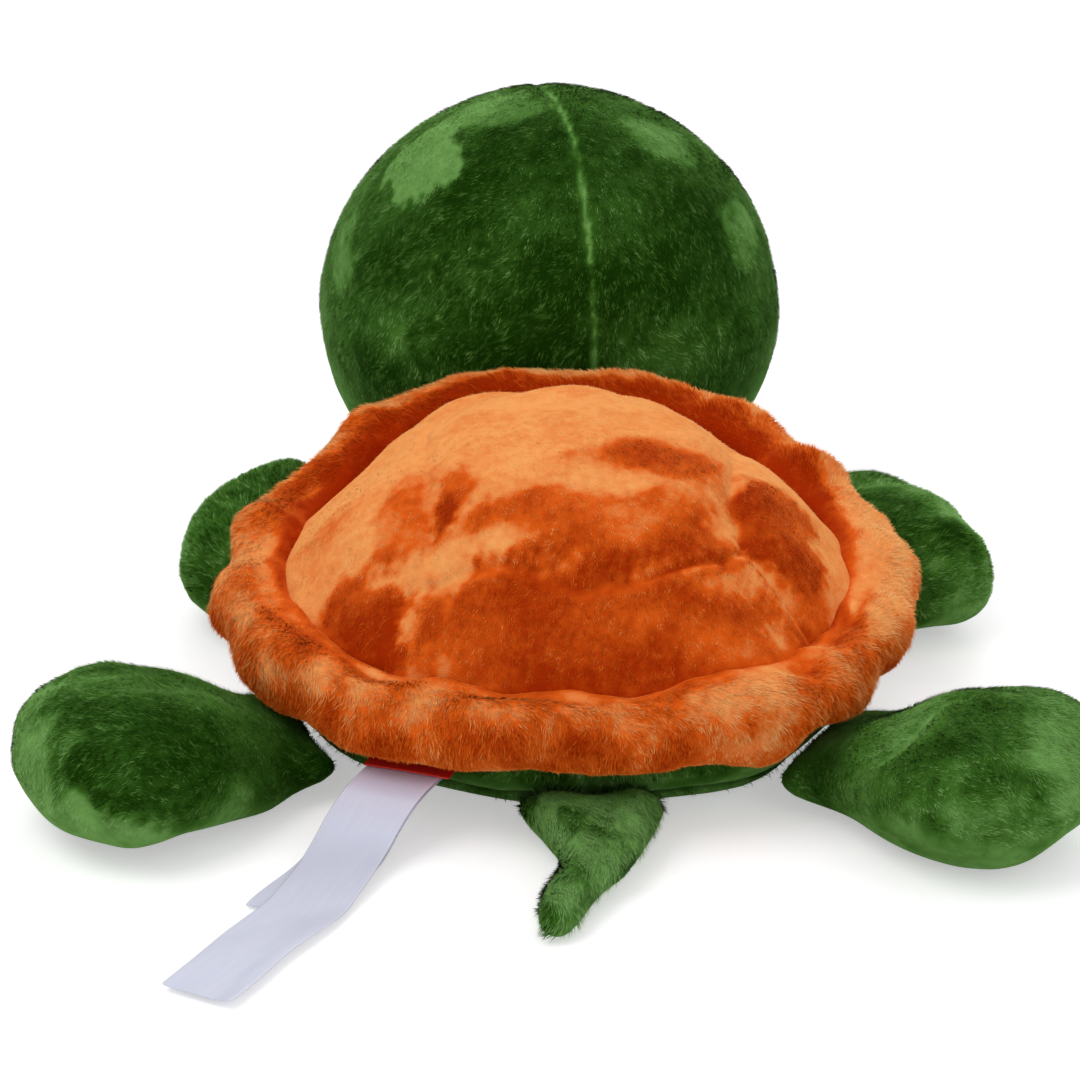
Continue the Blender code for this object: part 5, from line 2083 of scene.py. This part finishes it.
def head_form() -> Head:
    """The head, brushed dark, with patches of painted sheen over the crown and the cheeks."""
    return Head(
        "head", "head", Body.HEAD, GREEN, seed=11,
        # The marks paint the nap's sheen lighter over the crown and the cheeks.
        nap=Nap(size=0.030, bias=-0.62, seed=4, turn=50.0, patches=0.22, marks=(
            BrushMark((-0.0400, 0.133, 0.108), (0.012, 0.017, 0.013), 1.75),
            BrushMark((-0.0215, 0.146, 0.119), (0.019, 0.011, 0.014), 1.15, 0.3),
            BrushMark((0.0290, 0.140, 0.112), (0.012, 0.008, 0.012), 0.75, 0.3),
            BrushMark((0.0530, 0.132, 0.090), (0.007, 0.010, 0.013), 0.9, 0.3),
            BrushMark((-0.0640, 0.130, 0.082), (0.006, 0.012, 0.012), 0.9, 0.3),
            BrushMark((-0.0560, 0.106, 0.062), (0.014, 0.012, 0.014), 0.38, 0.5),
            BrushMark((0.0360, 0.100, 0.066), (0.018, 0.010, 0.014), 0.36, 0.5),
            BrushMark((-0.0300, 0.092, 0.060), (0.010, 0.010, 0.014), 0.26, 0.5),
        )),
        touching=("neck",), seam_light=2.1, seam_depth=0.0008, pile=Pile(length=0.0021, density=3.0e6),
    )


def limb(name: str, body: Body, joint: str, **details: object) -> Limb:
    """A green flipper or tail that is named after its node.

    Args:
        name: Its name and its node's.
        body: The body that it ends on.
        joint: The joint at its root.
        details: Its other fields by name.

    Returns:
        The limb.
    """
    return Limb(name, name, body, GREEN, joint=joint, touching=("body",), **details)


def limb_forms() -> list[Limb]:
    """The four flippers and the tail."""
    # Each limb's nap bias and marks are painted sheen and painted shade in its colour.
    return [
        limb(
            "front_right_flipper", Body.FRONT_RIGHT, "front_right_flap", seed=21, heading=28.5, reach=0.050,
            nap=Nap(size=0.024, seed=21, bias=-0.55, marks=(
                BrushMark((0.118, 0.036, 0.022), (0.012, 0.020, 0.014), 0.7, 0.5),
                BrushMark((0.100, 0.056, 0.036), (0.016, 0.012, 0.012), 0.5, 0.5),
                BrushMark((0.104, 0.026, 0.014), (0.020, 0.012, 0.010), 0.5, 0.5),
            )),
        ),
        limb(
            "front_left_flipper", Body.FRONT_LEFT, "front_left_flap", seed=22, heading=122.0, reach=0.050,
            nap=Nap(size=0.024, seed=22, bias=-0.35),
        ),
        limb(
            "rear_left_flipper", Body.REAR_LEFT, "rear_left_flap", seed=23, heading=213.5, reach=0.075,
            seam_light=1.6, sewn=(
                (-0.1205, -0.0955, 0.0244), (-0.1185, -0.0977, 0.0197), (-0.1156, -0.0988, 0.0161),
                (-0.1126, -0.0983, 0.0122),
            ),
            nap=Nap(size=0.026, seed=23, bias=-0.62, patches=0.2, marks=(
                BrushMark((-0.139, -0.080, 0.020), (0.016, 0.030, 0.024), 1.15, 0.4),
                BrushMark((-0.122, -0.104, 0.008), (0.026, 0.017, 0.014), 1.15, 0.4),
                BrushMark((-0.088, -0.093, 0.010), (0.026, 0.014, 0.010), 0.95, 0.5),
                BrushMark((-0.124, -0.060, 0.040), (0.016, 0.008, 0.012), 0.60, 0.5),
            )),
        ),
        limb(
            "rear_right_flipper", Body.REAR_RIGHT, "rear_right_flap", seed=24, heading=322.0, reach=0.075,
            seam_light=2.0, sewn=(
                (0.0789, -0.0832, 0.0272), (0.0827, -0.0808, 0.0302), (0.0868, -0.0762, 0.0319),
                (0.0948, -0.0695, 0.0340), (0.1020, -0.0672, 0.0352),
            ),
            nap=Nap(size=0.026, seed=24, bias=-0.20, patches=0.26, marks=(
                BrushMark((0.112, -0.104, 0.014), (0.034, 0.016, 0.018), 0.55, 0.5),
                BrushMark((0.128, -0.082, 0.030), (0.016, 0.024, 0.016), 0.45, 0.5),
                BrushMark((0.092, -0.066, 0.036), (0.020, 0.008, 0.010), 0.45, 0.4),
            )),
        ),
        limb(
            "tail", Body.TAIL, "tail_lift", seed=25, heading=270.0, curl=-30.0, reach=0.053,
            nap=Nap(size=0.012, seed=25, bias=0.80, patches=0.5),
            pile=Pile(length=0.0042, clump=0.5, clump_size=0.0024, mess=0.26, lean=22.0),
            stuffing=Stuffing(voxel=0.0020, cap=0.0012),
        ),
    ]


def torso_forms() -> list[PlushForm]:
    """The shell's dome and roll, the body, its belly and the neck."""
    return [
        Shell(
            "dome", "shell_dome", Body.TORSO, ORANGE, seed=31, touching=("body",), sewn_to=("rim",),
            # Bias and marks paint the nap's sheen and shade into the colour: painted light over the dome,
            # painted shade in brushed patches.
            nap=Nap(size=0.030, seed=9, bias=0.90, patches=0.24, marks=(
                BrushMark((0.010, -0.058, 0.048), (0.066, 0.021, 0.030), -1.30, 0.40),
                BrushMark((0.012, -0.034, 0.068), (0.038, 0.011, 0.020), -1.15, 0.35),
                BrushMark((0.024, -0.010, 0.078), (0.021, 0.007, 0.020), -1.10, 0.55),
                BrushMark((-0.041, -0.024, 0.064), (0.010, 0.015, 0.020), -0.95, 0.40),
                BrushMark((-0.028, -0.020, 0.072), (0.006, 0.007, 0.020), -1.05, 0.30),
                BrushMark((0.057, -0.018, 0.062), (0.012, 0.019, 0.020), -1.40, 0.30),
                BrushMark((0.061, -0.036, 0.048), (0.010, 0.014, 0.020), -1.10, 0.40),
                BrushMark((-0.053, -0.043, 0.045), (0.013, 0.014, 0.020), -1.30, 0.30),
                BrushMark((-0.022, -0.039, 0.060), (0.020, 0.005, 0.020), 0.80, 0.55),
                BrushMark((0.056, -0.037, 0.052), (0.004, 0.012, 0.020), 0.70, 0.60),
                BrushMark((0.036, -0.056, 0.044), (0.014, 0.005, 0.020), 0.35, 0.60),
            )), stuffing=Stuffing(smoothing=1, inset=0.0007), seam_light=0.0,
            pile=Pile(
                length=0.0019, density=4.2e6, half_width=0.000105, lean=14.0, curl=7.0, clump=0.14, mess=0.22,
                swirl=0.22,
            ),
        ),
        Rim(
            "rim", "shell_rim", Body.TORSO, ORANGE, seed=32, touching=("body",), sewn_to=("dome",),
            # The marks paint the nap's sheen lighter on the roll.
            clearing=0.0105, nap=Nap(size=0.016, seed=15, bias=-0.30, patches=0.20, marks=(
                BrushMark((0.047, -0.0757, 0.036), (0.014, 0.012, 0.012), 0.60, 0.5),
                BrushMark((0.083, -0.004, 0.046), (0.012, 0.034, 0.016), 1.00, 0.5),
                BrushMark((-0.067, -0.058, 0.036), (0.018, 0.012, 0.004), 0.45, 0.6),
                BrushMark((-0.086, -0.004, 0.045), (0.010, 0.022, 0.016), 0.30, 0.4),
                BrushMark((0.000, 0.066, 0.064), (0.050, 0.014, 0.012), 0.40, 0.5),
            )), stuffing=Stuffing(cap=0.0018),
            pile=Pile(
                length=0.0028, density=3.2e6, half_width=0.00012, clump=0.36, clump_size=0.0021, mess=0.28,
                under=0.5,
            ),
        ),
        Core(
            "core", "body", Body.TORSO, GREEN, seed=33, touching=("shell_dome", "shell_rim", "belly_panel"),
            nap=Nap(size=0.02, seed=17), stuffing=Stuffing(cap=0.001, smoothing=1, inset=0.0003),
        ),
        Core(
            "belly", "belly_panel", Body.TORSO, GREEN, seed=34, touching=("body",),
            nap=Nap(size=0.02, seed=18), pile=Pile(density=1.4e6, length=0.0022),
            stuffing=Stuffing(voxel=0.0016, inset=0.0002, cap=0.0006, smoothing=1),
        ),
        Neck(
            "neck", "neck", Body.NECK, GREEN, seed=35, touching=("body", "head"), nap=Nap(size=0.02, seed=19),
            stuffing=Stuffing(voxel=0.0024, cap=0.001),
        ),
    ]


def main() -> None:
    """Builds the turtle piece by piece, then the studio round it."""
    logging.basicConfig(level=logging.INFO, format="%(message)s")
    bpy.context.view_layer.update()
    colour_group, weave, wear = pile_colour_group(), weave_group(), wear_group()
    plush = {
        finish.name: (finish.backing(colour_group), finish.hair(colour_group)) for finish in (GREEN, ORANGE)
    }
    head = head_form()
    forms = [*torso_forms(), head, *limb_forms()]
    for form in forms:
        form.make_skin()
    for form in forms:
        form.build(*plush[form.finish.name])
    eye = EYE_PLASTIC.material(wear)
    for node, side in (("left_eye", Side.LEFT), ("right_eye", Side.RIGHT)):
        ButtonEye(node, head, EYE_AZIMUTH * side.value).build(eye)
    FaceStitching(head).build(bpy.data.objects["head_skin"], FACE_THREAD.material())
    satin = SATIN.material(weave)
    Ribbon("care_leaf_long", "care_ribbon_long", 1, 11).build(satin)
    Ribbon("care_leaf_short", "care_ribbon_short", 0, 7, end_slant=0.004, end_drift=0.005).build(satin)
    SeamTab().build(TAB_RIBBON.material(weave))
    PelletBag().build(BAG_COTTON.material())
    washer = WASHER_PLASTIC.material(wear)
    for node in ("left_eye_washer", "right_eye_washer"):
        materials = frame["nodes"][node].data.materials
        materials.clear()
        materials.append(washer)
    Studio().build()


if __name__ == "__main__":
    main()
